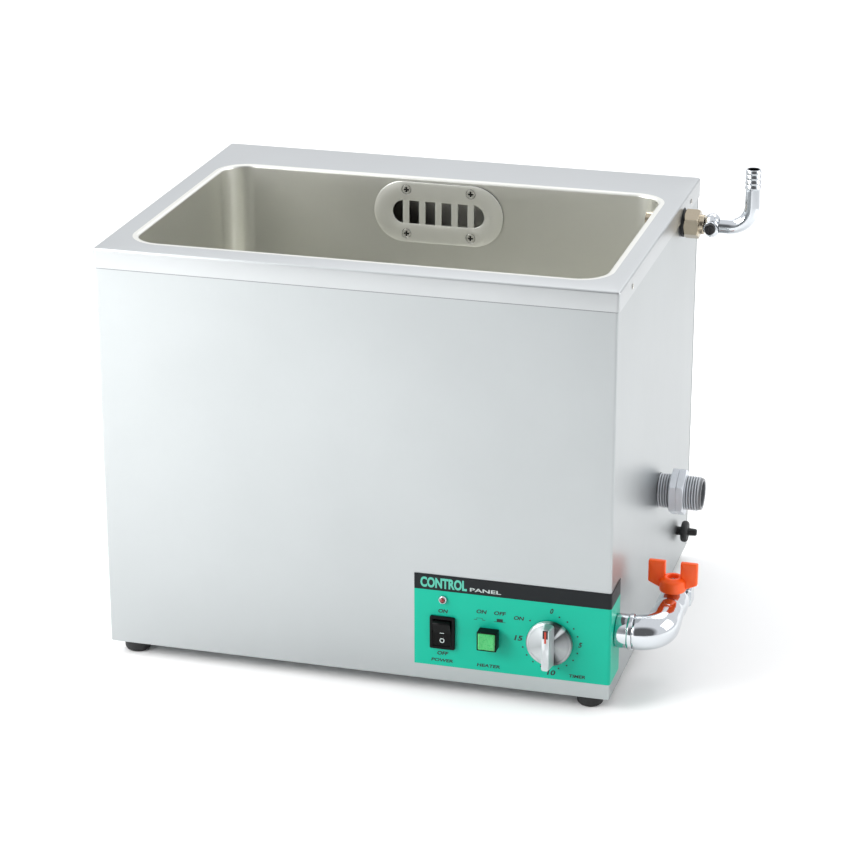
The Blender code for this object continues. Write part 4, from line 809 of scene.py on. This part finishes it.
def plated(name, colour, roughness, cast=0.00002):
    """Bright plating over cast or turned brass: a faint unevenness under the mirror, and roughness
    that varies a little with handling."""
    made, tree, at = new_material(name, colour, roughness, 1.0)
    rough = spread(tree, noise(tree, at, 60.0, 5.0, 0.7), roughness, roughness + 0.08, 0.4, 0.7)
    return surfaced(made, None, rough, noise(tree, at, 160.0), cast)


# Chrome plate on polished brass: cool, near mirror. Nickel is warmer and softer.
chrome = plated("chrome_plated_brass", "#CFD3D7", 0.05)
nickel = plated("nickel_plated_brass", "#B9AE9A", 0.16, 0.00003)

inlet = line_through("inlet_gasket", "X")
gasket_r = (gasket_high.y - gasket_low.y) / 2 - 0.0010
ring = [(0.0083, gasket_low.x), (gasket_r, gasket_low.x), (gasket_r, gasket_high.x), (0.0083, gasket_high.x)]
fit(make_piece("moulded_gasket", turned(ring, 0.0008, "X", inlet, hollow=True)),
    rubber, "cabinet", "black_rubber", "inlet_gasket")
dress(nickel, "inlet_spigot")

nut_low, nut_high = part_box("inlet_adapter")
hex_end = nut_low.x + 0.0143
neck = [(0.0084, nut_low.x + 0.002), (0.0115, nut_low.x + 0.002), (0.0115, hex_end - 0.0005),
        (NECK_R, hex_end + 0.0002), (NECK_R, nut_high.x - 0.0008), (NECK_R - 0.0008, nut_high.x),
        (0.0056, nut_high.x), (0.0056, hex_end - 0.003), (0.0084, hex_end - 0.003)]
fit(make_piece("hexagon_adapter", hex_ring("X", inlet, nut_low.x, hex_end, 0.0258, 0.0083, cone_at=0.50),
               turned(neck, 0.0003, "X", inlet, hollow=True)),
    nickel, "cabinet", "nickel_brass", "inlet_adapter")

cock_low, cock_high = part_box("inlet_cock_body")
cock_x, cock_half = (cock_low.x + cock_high.x) / 2, (cock_high.x - cock_low.x) / 2
cock_r = (cock_high.z - cock_low.z) / 2
curve = arc((0, 0), 1, -COCK_TURN, COCK_TURN, 16)
curve *= (cock_r, cock_half / math.sin(math.radians(COCK_TURN)))
ball_line = np.concatenate([curve + (0, cock_x), [(0.0056, cock_high.x), (0.0056, cock_low.x)]])
boss = [(0.0035, inlet[1] - 0.0060), (0.0066, inlet[1] - 0.0060), (0.0066, cock_low.y + 0.0003),
        (0.0060, cock_low.y), (0.0035, cock_low.y)]
fit(make_piece("cock_body",
               woven(revolved(ball_line[:, 0], ball_line[:, 1], "X", inlet), rows_close=True),
               turned(boss, 0.0003, "Y", (cock_x, 0, inlet[2]), hollow=True)),
    chrome, "cabinet", "chrome_plate", "inlet_cock_body")

plug_low, plug_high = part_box("inlet_cock_plug")
line = [(0, plug_low.y), (0.0054, plug_low.y), (0.0054, plug_low.y + 0.0030), (0.0031, plug_low.y + 0.0030),
        (0.0031, plug_high.y), (0, plug_high.y)]
plug = make_piece("cock_plug_screw", turned(line, [0, 0.0012, 0.0002, 0.0002, 0.0004, 0], "Y",
                                            (cock_x, 0, inlet[2])))
carve(plug, bar((cock_x - 0.0006, cock_x + 0.0006), (plug_low.y - 0.001, plug_low.y + 0.0009),
                (inlet[2] - 0.0038, inlet[2] + 0.0038)))
# Acetal, moulded: black with a low gloss.
acetal = moulded("moulded_black_acetal", "#17181A", 0.34, 0.0009, 0.00003)
fit(plug, acetal, "cock_plug", "black_plastic", "inlet_cock_plug")


def at_depth(front, y):
    """Front-view points (x, z) set at depth y."""
    return np.column_stack([front[:, 0], np.full(len(front), y), front[:, 1]])


spout_low, spout_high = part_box("inlet_pipe")
spout_x, spout_top = spout_high.x - BARB_R, spout_high.z
bend = arc((spout_x - PIPE_BEND, inlet[2] + PIPE_BEND), PIPE_BEND, -90, 0, 24)
barb_start = spout_top - BARBS * BARB_PITCH
rise = np.linspace(barb_start, spout_top, BARBS * 14 + 1)
route = np.concatenate([[(spout_low.x, inlet[2])], [(spout_low.x + 0.004, inlet[2])], bend,
                        np.column_stack([np.full(len(rise), spout_x), rise])])
share = ((rise - barb_start) / BARB_PITCH) % 1
ridge = np.where(share < BARB_TOP, np.sin(share / BARB_TOP * np.pi / 2),
                 np.cos((share - BARB_TOP) / (1 - BARB_TOP) * np.pi / 2) ** 0.7)
ridge[-1] = 0
radii = np.concatenate([np.full(2 + len(bend), PIPE_R), PIPE_R - 0.0006 + (BARB_R - PIPE_R + 0.0006) * ridge])
path = at_depth(route, inlet[1])
fit(make_piece("barbed_spout", bent_tube(path, radii, PIPE_BORE, (0, 1, 0)), sharp=50),
    chrome, "spout", "chrome_plate", "inlet_pipe")


# Drain -------------------------------------------------------------------------------------------
# The tank drains through a chromed elbow and a brass ball valve along the right wall. Its butterfly
# handle is moulded nylon on the ball's stem, held by one screw.

ELBOW_R, ELBOW_BORE = 0.0167, 0.0090
STEM_AT = 0.035          # from the elbow's end to the valve's stem
HUB_R, HUB_H = 0.0128, 0.014
WING_T, WING_IN = 0.0060, 0.0072

dress(chrome, "drain_pipe", "drain_ball")
collar_low, collar_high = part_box("drain_collar")
drain = line_through("drain_collar", "X")[1:]
line = [(0.0094, collar_low.x), (ELBOW_R - 0.0004, collar_low.x),
        (ELBOW_R - 0.0004, collar_high.x - 0.0046), (ELBOW_R + 0.0006, collar_high.x - 0.0039),
        (ELBOW_R + 0.0006, collar_high.x), (0.0094, collar_high.x)]
fit(make_piece("drain_collar_ring", turned(line, 0.0007, "X", (0, *drain), hollow=True)),
    chrome, "cabinet", "chrome_plate", "drain_collar")

elbow_low, elbow_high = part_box("drain_elbow")
valve_low, valve_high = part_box("drain_valve_body")
valve_x = (valve_low.x + valve_high.x) / 2
bend_r = valve_x - elbow_low.x - 0.0015
turn = arc((valve_x - bend_r, drain[0] + bend_r), bend_r, -90, 0, 32)
route = np.concatenate([[(elbow_low.x, drain[0])], turn, [(valve_x, elbow_high.y)]])
path = at_height(route, drain[1])
radii = np.full(len(path), ELBOW_R)
radii[[0, -1]] -= 0.0006
fit(make_piece("drain_bend", bent_tube(path, radii, ELBOW_BORE, (0, 0, 1), 64), sharp=60),
    chrome, "cabinet", "chrome_plate", "drain_elbow")

stem_y = elbow_high.y + STEM_AT
line = [(0.0080, valve_low.y), (0.0148, valve_low.y), (0.0148, stem_y - 0.020),
        (0.0138, stem_y - 0.014), (0.0150, stem_y - 0.006), (0.0150, stem_y + 0.006),
        (0.0138, stem_y + 0.014), (0.0130, stem_y + 0.022), (0.0130, valve_high.y - 0.002),
        (0.0080, valve_high.y - 0.002)]
handle_low, handle_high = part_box("drain_handle")
boss_low, boss_high = drain[1] + 0.012, handle_low.z - 0.0003
boss = [(0, boss_low), (0.0068, boss_low), (0.0066, boss_high), (0, boss_high)]
valve = make_piece("ball_valve_body",
                   turned(line, 0.0022, "Y", (valve_x, 0, drain[1]), hollow=True),
                   hex_ring("Y", (valve_x, 0, drain[1]), stem_y + 0.021, valve_high.y, 0.0285, 0.0100),
                   turned(boss, 0.0004, "Z", (valve_x, stem_y, 0)))
fit(valve, chrome, "cabinet", "chrome_plate", "drain_valve_body")


def plate_of(outline, middle, half, ease):
    """A flat plate with rounded rims: the (x, z) outline is drawn in by `ease` at both faces along
    its own normals, and each face closes on its middle point."""
    step = np.roll(outline, -1, 0) - np.roll(outline, 1, 0)
    step /= np.linalg.norm(step, axis=1)[:, None]
    normal = np.stack([step[:, 1], -step[:, 0]], 1)
    centre = outline.mean(0)
    normal *= np.sign(np.sum(normal * (outline - centre)))
    rim = [(outline - normal * ease * (1 - np.sin(a)), half - ease * (1 - np.cos(a)))
           for a in np.radians(np.linspace(0, 90, 5))]
    pole = (centre + 0 * outline, half)
    rows = [(line, middle - out) for line, out in (pole, *rim)]
    rows += [(line, middle + out) for line, out in (*rim[::-1], pole)]
    return woven(np.stack([at_depth(line, y) for line, y in rows]))


hub_low, hub_high = handle_low.z, handle_low.z + HUB_H
half_span = (handle_high.x - handle_low.x) / 2
hub = [(0.0033, hub_low), (HUB_R - 0.0004, hub_low), (HUB_R, hub_low + 0.0012), (HUB_R, hub_high - 0.003),
       (HUB_R - 0.0040, hub_high), (0.0056, hub_high), (0.0056, hub_high - 0.006), (0.0033, hub_high - 0.006)]
wings = []
for way in (-1, 1):
    tip = way * half_span
    outline = np.array([(way * WING_IN, hub_low + 0.002), (way * (HUB_R - 0.001), hub_low + 0.002),
                        (tip, hub_low + 0.0075), (tip, handle_high.z), (way * WING_IN, handle_high.z)])
    outline = eased(outline + (valve_x, 0), [0.0008, 0.001, 0.0015, 0.0018, 0.0012], 6, closed=True)
    wings.append(plate_of(outline, stem_y, WING_T / 2, 0.0016))
# Nylon 6, injection-moulded in signal orange: satin, and a little light goes into it. A faint orange glow is
# painted in as emission to lighten its shaded side.
nylon = moulded("moulded_orange_nylon", "#FF5E10", 0.36, 0.0012, 0.00004,
                **{"Subsurface Weight": 0.25, "Subsurface Scale": 0.003, "Emission Strength": 0.10,
                   "Emission Color": linear("#FF4A10")})
fit(make_piece("butterfly_handle", turned(hub, 0.0012, "Z", (valve_x, stem_y, 0), hollow=True), *wings),
    nylon, "valve_handle", "orange_nylon", "drain_handle")
screw_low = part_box("handle_screw")[0].z
flank = [(0.0045, 0.0018), (0.0045, 0)]
line = cross_head("Z", (valve_x, stem_y, screw_low), 1, 0.0044, 0.0006, flank, 0.0012)
lifted = line[0].copy()
lifted[:HEAD_ROWS * HEAD_SIDES, 2] += 0.0021
fit(make_piece("handle_pan_screw", (lifted, line[1])),
    screw_steel, "valve_handle", "chrome_plate", "handle_screw")


# Control label -----------------------------------------------------------------------------------
# A self-adhesive polyester film, screen-printed green with a dark band along the top, that folds
# round the casing's right-hand corner. The words and the dial's marks are printed over it.

BAND = 0.0157            # height of the dark band
FILM = 0.0003
INK_RISE = 0.00004       # how far the print stands on the film
MM = 0.001


def printed_film(name, field, band, split):
    """Printed polyester: the band's colour above height `split` and the field's below it, under a
    clear satin laminate with a fine pebble of 0.8 mm."""
    made, tree, at = new_material(name, field, 0.36, **{"Specular IOR Level": 0.2})
    above = arithmetic(tree, "GREATER_THAN", coordinate(tree, at, "Z"), split)
    skin = graded(tree, above, ((0, linear(field)), (0.5, linear(band))), "CONSTANT")
    pebble = noise(tree, at, 1250.0)
    return surfaced(made, skin, spread(tree, pebble, 0.30, 0.42), pebble, 0.00001)


label_out = label_high.x - 0.0002
label_front = label_low.y + 0.0002
film_path = eased([(label_low.x, label_front), (label_out, label_front), (label_out, label_high.y)],
                  BEND + FILM, 8)
film = printed_film("screen_printed_polyester", "#0FAB8F", "#14181B", label_high.z - BAND)
label = make_piece("printed_label", strip(film_path, FILM, label_low.z, label_high.z))
fit(label, film, "cabinet", "label_film", "control_label")
print_y = label_front - INK_RISE


def lettering(words, left, right, middle, height, lean, weight):
    """A line of plain capitals as flat faces. The font's outline is filled, slanted by lean * z, and
    stretched to run from `left` to `right` at the given cap height round `middle`."""
    curve = bpy.data.curves.new("words", "FONT")
    curve.body = words
    curve.offset = weight
    curve.resolution_u = 4
    text = placed("words", curve)
    bpy.context.view_layer.update()
    mesh = bpy.data.meshes.new_from_object(text.evaluated_get(bpy.context.evaluated_depsgraph_get()))
    bpy.data.objects.remove(text, do_unlink=True)
    flat = np.zeros(len(mesh.vertices) * 3)
    mesh.vertices.foreach_get("co", flat)
    flat = flat.reshape(-1, 3)
    low, high = flat.min(0), flat.max(0)
    z = (flat[:, 1] - low[1]) / (high[1] - low[1]) * height
    x = (flat[:, 0] - low[0]) / (high[0] - low[0]) * (right - left - lean * height) + lean * z
    faces = [list(face.vertices) for face in mesh.polygons]
    return np.column_stack([left + x, np.zeros(len(x)), middle - height / 2 + z]), faces


def print_on(name, material, body, slot, y, parts):
    """Flat print at depth y from (points, faces) sets, with its faces turned to the front."""
    points = np.concatenate([part[0] for part in parts])
    points[:, 1] += y
    starts = np.cumsum([0] + [len(part[0]) for part in parts])
    faces = [[v + start for v in face] for (_, part), start in zip(parts, starts) for face in part]
    mesh = bpy.data.meshes.new(name)
    mesh.from_pydata(points, [], faces)
    bm = bmesh.new()
    bm.from_mesh(mesh)
    bmesh.ops.reverse_faces(bm, faces=[face for face in bm.faces if face.normal.y > 0])
    bm.to_mesh(mesh)
    bm.free()
    fit(placed(name, mesh), material, body, slot)


def dot(angle, ring, radius, sides=20):
    """A filled disc on a ring round the dial, at an angle clockwise from the top."""
    t = around(sides)
    x, z = dial[0] + ring * math.sin(angle), dial[2] + ring * math.cos(angle)
    return np.column_stack([x + radius * np.cos(t), 0 * t, z + radius * np.sin(t)]), [list(range(sides))]


def oblong(x0, x1, z0, z1):
    """A filled rectangle."""
    return np.array([(x0, 0, z0), (x1, 0, z0), (x1, 0, z1), (x0, 0, z1)]), [[0, 1, 2, 3]]


def ink(name, colour):
    """Screen-printed ink: a thin even film with slight pinholes in its gloss."""
    made, tree, at = new_material(name, colour, 0.45)
    return surfaced(made, rough=spread(tree, noise(tree, at, 2500.0), 0.35, 0.6))


case_x, case_z = cover_low.x, case_low.z
dial_low, dial_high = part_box("timer_knob")
dial = line_through("timer_knob", "Y")
MINUTE = math.radians(18)
DOT_R, DOT_RING = 0.00085, 0.0275
# Text, left and right ends, middle and cap height, in millimetres from the cover's left edge and the
# casing's underside.
LEGENDS = (("ON", 333, 343, 72.0, 4.0), ("OFF", 332, 343.5, 28.4, 4.0), ("POWER", 326.5, 348.7, 21.0, 3.3),
           ("ON", 370, 380.5, 75.8, 4.0), ("OFF", 387, 399, 76.0, 4.0), ("HEATER", 371, 394.5, 20.8, 3.3),
           ("ON", 406, 416.5, 73.4, 4.0), ("TIMER", 459.5, 476.5, 20.6, 3.3), ("0", 440.6, 444.8, 84.4, 5.4),
           ("5", 468.2, 472.4, 53.2, 5.4), ("10", 438.8, 447.6, 21.6, 5.4), ("15", 407.0, 415.6, 53.2, 5.4))
# The pressed and raised push-button signs over the heater's switch: left, right, bottom and top.
SIGNS = ((368, 371, 67.0, 67.5), (370.6, 371, 67.5, 69.2), (370.6, 376.4, 68.8, 69.2),
         (376, 376.4, 67.5, 69.2), (376, 379, 67.0, 67.5), (387.4, 390, 67.0, 67.5),
         (390, 396, 67.0, 70.4), (396, 398.6, 67.0, 67.5))


def words(text, left, right, middle, height, lean=0.22, weight=0.036):
    """Lettering placed in millimetres from the cover's left edge and the casing's underside."""
    return lettering(text, case_x + left * MM, case_x + right * MM, case_z + middle * MM, height * MM,
                     lean, weight)


marks = [dot(m * MINUTE, DOT_RING, DOT_R) for m in range(1, 15) if m % 5]
marks.append(dot(-math.pi / 4, DOT_RING, DOT_R))
dark_ink = ink("dark_screen_ink", "#0B1D1A")
pale_ink = ink("pale_green_screen_ink", "#4DB29B")
white_ink = ink("white_screen_ink", "#AEB9B6")
signs = [oblong(case_x + x0 * MM, case_x + x1 * MM, case_z + z0 * MM, case_z + z1 * MM)
         for x0, x1, z0, z1 in SIGNS]
for name, colour, parts in (("words", dark_ink, marks + [words(*legend) for legend in LEGENDS]),
                            ("heading", pale_ink, [words("CONTROL", 316, 361, 100.0, 10.6, 0.0, 0.04)]),
                            ("subheading", white_ink, [words("PANEL", 364, 394, 97.0, 3.6, 0.0, 0.02)]),
                            ("signs", dark_ink, signs)):
    print_on(f"printed_{name}", colour, "cabinet", "label_film", print_y, parts)


# Power switch ------------------------------------------------------------------------------------
# A snap-in rocker switch: a moulded bezel and a glossy rocker on a pin, marked with a line and a
# ring in white.

LEAN = math.radians(12)
ROCKER_DEPTH, ROCKER_HALF, ROCKER_W = 0.0030, 0.0122, 0.0174
ROCKER_SOFT = 0.0012     # half width of the soft bottom of its V
ROCKER_EASE, ROCKER_THICK = 0.0008, 0.008


def lofted(rows, middle, corner_steps=4):
    """Rounded rectangles stacked along Y: each row is (half width, half height, corner radius, y)."""
    return np.stack([at_depth(rounded_ring((-half_w, half_w), (-half_h, half_h), radius, corner_steps)
                              + (middle[0], middle[2]), y) for half_w, half_h, radius, y in rows])


def fringe(half_w, half_h, radius, front, ease, steps=4):
    """Rows that round a block's front rim: inset = ease (1 - sin a), depth = ease (1 - cos a)."""
    a = np.radians(np.linspace(0, 90, steps + 1))
    return [(half_w - ease * (1 - math.sin(v)), half_h - ease * (1 - math.sin(v)),
             max(radius - ease * (1 - math.sin(v)), 0.0002), front + ease * (1 - math.cos(v))) for v in a]


switch = line_through("power_switch_housing", "Y")
bezel_w, bezel_h = (rocker_high.x - rocker_low.x) / 2, (rocker_high.z - rocker_low.z) / 2
seat = rocker_low.y + 0.0026
well = (ROCKER_W / 2 + 0.0003, 0.0137)
rows = fringe(bezel_w, bezel_h, 0.0016, rocker_low.y, 0.0010)
rows += [(bezel_w, bezel_h, 0.0016, seat), (0.0107, 0.0149, 0.001, seat),
         (0.0107, 0.0149, 0.001, rocker_high.y), (*well, 0.0006, rocker_high.y),
         (*well, 0.0006, rocker_low.y + 0.0004),
         (well[0] + 0.0004, well[1] + 0.0004, 0.0008, rocker_low.y)]
bezel = make_piece("rocker_bezel", woven(lofted(rows, switch), rows_close=True))
# Polyamide 66, moulded: black; the bezel is satin and the rocker is polished.
DULL = {"Specular IOR Level": 0.12}
satin_black = moulded("moulded_black_polyamide", "#0A0A0B", 0.36, 0.0008, 0.00002, **DULL)
gloss_black = moulded("polished_black_polyamide", "#060606", 0.22, 0.0010, 0.00001, **DULL)
fit(bezel, satin_black, "cabinet", "black_plastic", "power_switch_housing")


def rocker_face(z):
    """Depth of the rocker's face at height z: two slopes that lean back by LEAN meet in a soft V."""
    return -(ROCKER_DEPTH + np.sqrt(z ** 2 + ROCKER_SOFT ** 2) * math.tan(LEAN)) + 0.0002


def rocker_place(section, x):
    """A (y, z) line in the rocker's own frame, leant back about the pin and set at x."""
    leant = section @ lean_back
    return np.column_stack([np.zeros(len(leant)) + x, leant]) + pivot


pivot = (switch[0], seat + 0.0006, switch[2])
lean_back = np.array([[math.cos(LEAN), math.sin(LEAN)], [-math.sin(LEAN), math.cos(LEAN)]])
tip_out = ROCKER_DEPTH + ROCKER_HALF * math.tan(LEAN)
tip_r = math.hypot(tip_out, ROCKER_HALF)
up = np.linspace(-ROCKER_HALF, ROCKER_HALF, 41)
sweep = np.linspace(math.atan2(ROCKER_HALF, -tip_out), math.atan2(tip_r * 0.97, 0.0028), 10)[1:]
side = np.column_stack([tip_r * np.cos(sweep), tip_r * np.sin(sweep)])
outline = np.concatenate([np.column_stack([rocker_face(up), up]), side, side[::-1] * (1, -1)])
centre = outline.mean(0)
edge = ROCKER_W / 2
# Half widths and how far the outline is drawn in there, from each side's pole to where it is full.
inset = ((edge, ROCKER_THICK), (edge, ROCKER_EASE), (edge - ROCKER_EASE * 0.3, ROCKER_EASE * 0.3),
         (edge - ROCKER_EASE, 0))
rows = [rocker_place(centre + (outline - centre) * (1 - pull / ROCKER_THICK), x)
        for x, pull in [(-x, pull) for x, pull in inset] + list(inset[::-1])]
rocker = make_piece("polished_rocker", woven(np.stack(rows)), sharp=40)
fit(rocker, gloss_black, "rocker", "black_plastic", "power_rocker")


def on_rocker(x, z):
    """Points (x, z) printed on the rocker's face and leant with it."""
    return rocker_place(np.column_stack([rocker_face(z) - 0.00006, z]), x)


t = around(40)
ring_grid = np.stack([on_rocker(r * np.cos(t), r * np.sin(t) - 0.0069) for r in (0.0015, 0.0024)])
dash_grid = np.stack([on_rocker(np.linspace(-0.0021, 0.0021, 8), np.full(8, z)) for z in (0.0004, 0.0012)])
print_on("rocker_marks", white_ink, "rocker", "label_film", 0.0, [
    (grid.reshape(-1, 3), woven(grid, columns_close=closed)[1].tolist())
    for grid, closed in ((ring_grid, True), (dash_grid, False))])


# Pilot lamp --------------------------------------------------------------------------------------
# A chromed bezel with a red acrylic lens pressed into it.

lamp_low, lamp_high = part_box("pilot_lamp_bezel")
lamp = line_through("pilot_lamp_bezel", "Y")
line = [(0.0042, seat), (0.0042, seat - 0.0010), (0.0034, lamp_low.y), (0.0027, lamp_low.y),
        (0.0027, lamp_high.y), (0.0033, lamp_high.y), (0.0033, seat)]
fit(make_piece("lamp_bezel", turned(line, 0.0004, "Y", lamp, hollow=True)),
    chrome, "cabinet", "chrome_plate", "pilot_lamp_bezel")
lens_low, lens_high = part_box("pilot_lamp_lens")
dome = arc((0, 0), 1, 90, 0, 10)
line = np.column_stack([0.0024 * dome[:, 0], lamp_low.y - (lamp_low.y - lens_low.y) * dome[:, 1]])
line = np.concatenate([line, [(0.0024, lens_high.y), (0, lens_high.y)]])
# Acrylic, moulded and clear red over a dark chamber.
acrylic = moulded("moulded_red_acrylic", "#7E0D12", 0.12, 0.0020, 0.00001, **{"Coat Weight": 0.6})
fit(make_piece("lamp_lens", woven(revolved(line[:, 0], line[:, 1], "Y", lamp, 48))),
    acrylic, "cabinet", "red_lens", "pilot_lamp_lens")


# Heater switch -----------------------------------------------------------------------------------
# A square push switch with a moulded black frame and a pale green button, lit from behind when on.

push = line_through("heater_switch_housing", "Y")
push_half = (push_high.x - push_low.x) / 2
rows = fringe(push_half, push_half, 0.0010, push_low.y, 0.0006)
rows += [(half, half, radius, y) for half, radius, y in (
    (push_half, 0.0010, seat), (0.0080, 0.0008, seat), (0.0080, 0.0008, push_high.y),
    (0.0062, 0.0006, push_high.y), (0.0062, 0.0006, seat - 0.003), (push_half - 0.0011, 0.0006, seat - 0.003),
    (push_half - 0.0011, 0.0006, push_low.y + 0.0003), (push_half - 0.0009, 0.0007, push_low.y))]
fit(make_piece("push_switch_frame", woven(lofted(rows, push), rows_close=True)),
    satin_black, "cabinet", "black_plastic", "heater_switch_housing")

key_low, key_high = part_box("heater_button")
key_half = (key_high.x - key_low.x) / 2
key_face = fringe(key_half - 0.0012, key_half - 0.0012, 0.0008, key_low.y, 0.0002)[:2]
rows = [(half, half, radius, y) for half, radius, y in (
    (0.0001, 0.0001, key_low.y + 0.0004), (key_half - 0.0022, 0.0006, key_low.y + 0.0003),
    *((row[0], row[2], row[3]) for row in key_face), (key_half, 0.0006, key_low.y + 0.0009),
    (key_half, 0.0006, seat - 0.0065), (0.0058, 0.0006, seat - 0.0065), (0.0058, 0.0006, key_high.y),
    (0.0001, 0.0001, key_high.y))]
# Polycarbonate, moulded: pale translucent green.
lit_green = moulded("moulded_green_polycarbonate", "#3FAE62", 0.28, 0.0015, 0.00001,
                    **{"Subsurface Weight": 0.15, "Subsurface Scale": 0.002})
fit(make_piece("push_button", woven(lofted(rows, push))),
    lit_green, "button", "green_button", "heater_button")


# Timer -------------------------------------------------------------------------------------------
# A clockwork timer screwed behind the panel. Its knob is turned from aluminium bar: a spun disc with
# a raised grip across it, and a red and black mark at the end of the grip.

dress(zinc, "timer_body")
# Free-cutting steel shaft, ground and zinc-plated.
shaft_steel = cold_headed("ground_steel_shaft", "#B9BCBD", 0.30)
dress(shaft_steel, "timer_shaft")

GRIP_ROOT, GRIP_TOP = 0.0058, 0.0036
RING_PITCH = 0.0005
# Painted reflection round the spun face, bright and dark sectors clockwise from the pointer: (share of a
# turn, share of the metal's).
SECTORS = ((0.0, 0.85), (0.03, 0.12), (0.085, 0.12), (0.097, 1.0), (0.118, 1.0), (0.13, 0.14), (0.20, 0.38),
           (0.30, 0.60), (0.38, 0.55), (0.43, 0.14), (0.455, 0.14), (0.465, 1.0), (0.485, 0.9), (0.50, 0.30),
           (0.54, 0.9), (0.62, 1.0), (0.70, 0.70), (0.80, 0.85), (1.0, 1.0))


def spun_aluminium(name, colour, roughness, centre, face):
    """Aluminium faced on a lathe: rings of 0.5 mm pitch round the knob's axis in bump, a noise along
    the radius in roughness, and highlights stretched across the rings. Bright and dark sectors of
    reflection are painted round the face, behind depth `face`; the grip in front stays even."""
    made, tree, at = new_material(name, colour, roughness, 1.0,
                                  **{"Anisotropic": 0.9, "Anisotropic Rotation": 0.25})
    moved = add_node(tree, "ShaderNodeMapping", {"Vector": at, "Location": (-centre[0], 0, -centre[2]),
                                                 "Scale": (1, 0, 1)}).outputs["Vector"]
    across = add_node(tree, "ShaderNodeSeparateXYZ", {"Vector": moved}).outputs
    angle = arithmetic(tree, "ARCTAN2", across["X"], across["Z"])
    clock = arithmetic(tree, "DIVIDE", arithmetic(tree, "FLOORED_MODULO", angle, 2 * math.pi), 2 * math.pi)
    sectors = graded(tree, clock, [(place, shaded(colour, share)) for place, share in SECTORS])
    on_face = spread(tree, coordinate(tree, at, "Y"), 0.0, 1.0, face - 0.0012, face - 0.0004)
    skin = add_node(tree, "ShaderNodeMix", {0: on_face, 6: linear(colour), 7: sectors}, data_type="RGBA")
    distance = vector_step(tree, "LENGTH", moved)["Value"]
    groove = arithmetic(tree, "SINE", arithmetic(tree, "MULTIPLY", distance, 2 * math.pi / RING_PITCH))
    radial = add_node(tree, "ShaderNodeCombineXYZ", {"X": distance}).outputs["Vector"]
    rough = spread(tree, noise(tree, radial, 900.0, 3.0), roughness - 0.08, roughness + 0.08)
    tangent = add_node(tree, "ShaderNodeTangent", direction_type="RADIAL", axis="Y").outputs["Tangent"]
    tree.links.new(tangent, tree.nodes["Principled BSDF"].inputs["Tangent"])
    return surfaced(made, skin.outputs[2], rough, groove, 0.000006)


knob_r = (dial_high.x - dial_low.x) / 2
disc_back, disc_front = dial_high.y, dial_high.y - 0.0060
disc = [(0, disc_front + 0.0004), (knob_r - 0.0032, disc_front + 0.0004), (knob_r - 0.0026, disc_front),
        (knob_r - 0.0010, disc_front), (knob_r, disc_front + 0.0012), (knob_r, disc_back), (0, disc_back)]
reach = knob_r - 0.0004
grip_front = dial_low.y + 0.0002
rows = [(0.0001, 0.0001, 0.00005, grip_front)]
rows += fringe(GRIP_TOP, reach - 0.0004, 0.0022, grip_front, 0.0008)
rows += [(GRIP_ROOT, reach, 0.0034, disc_front + 0.0004), (GRIP_ROOT, reach, 0.0034, disc_front + 0.002),
         (0.0001, 0.0001, 0.00005, disc_front + 0.002)]
aluminium = spun_aluminium("spun_aluminium", "#CDD1D3", 0.36, dial, disc_front)
disc_ease = [0, 0.0003, 0.0003, 0.0004, 0.0004, 0.0003, 0]
fit(make_piece("timer_dial_knob", turned(disc, disc_ease, "Y", dial, 128), woven(lofted(rows, dial))),
    aluminium, "timer", "turned_aluminium", "timer_knob")

# Enamel filled into a shallow slot at the end of the grip: black round a red line.
mark_top = dial[2] + reach - 0.0010
black_enamel, red_enamel = ink("black_enamel", "#161212"), ink("red_enamel", "#B23218")
for name, enamel, rise, half, low, high in (("slot", black_enamel, 0.00011, 0.0025, 0.0085, 0),
                                            ("line", red_enamel, 0.00006, 0.0009, 0.0130, 0.0012)):
    print_on(f"pointer_{name}", enamel, "timer", "turned_aluminium", dial_low.y + rise,
             [oblong(dial[0] - half, dial[0] + half, mark_top - low, mark_top - high)])


# Electronics and fan -----------------------------------------------------------------------------
# The generator board stands on posts over the base plate, beside a finned aluminium heat sink, and
# an axial fan draws air through the back panel's slots.

TRACK = 0.0025


def circuit_board(name):
    """Green solder mask over copper: a grid of 2.5 mm tracks shows through as a lighter green."""
    made, tree, at = new_material(name, "#2F6B3C", 0.42)
    tracks = add_node(tree, "ShaderNodeTexBrick", {"Vector": at, "Scale": 1 / (TRACK * 4),
                                                   "Color1": linear("#2F6B3C"), "Color2": linear("#295F36"),
                                                   "Mortar": linear("#4C8C50"), "Mortar Size": 0.06})
    return surfaced(made, tracks.outputs["Color"], height=tracks.outputs["Fac"], relief=0.00003)


dress(circuit_board("solder_mask_on_copper"), "generator_board")
# Extruded aluminium, natural: the die's lines run along the fins.
dress(rolled_stainless("extruded_aluminium", "#C6C8C8", 0.40, "Y"), "heat_sink")
# PBT with glass fibre, moulded: black and slightly grainy.
fan_plastic = moulded("moulded_black_polyester", "#191A1B", 0.45, 0.0010, 0.00004)
dress(fan_plastic, "fan_housing", "fan_rotor")
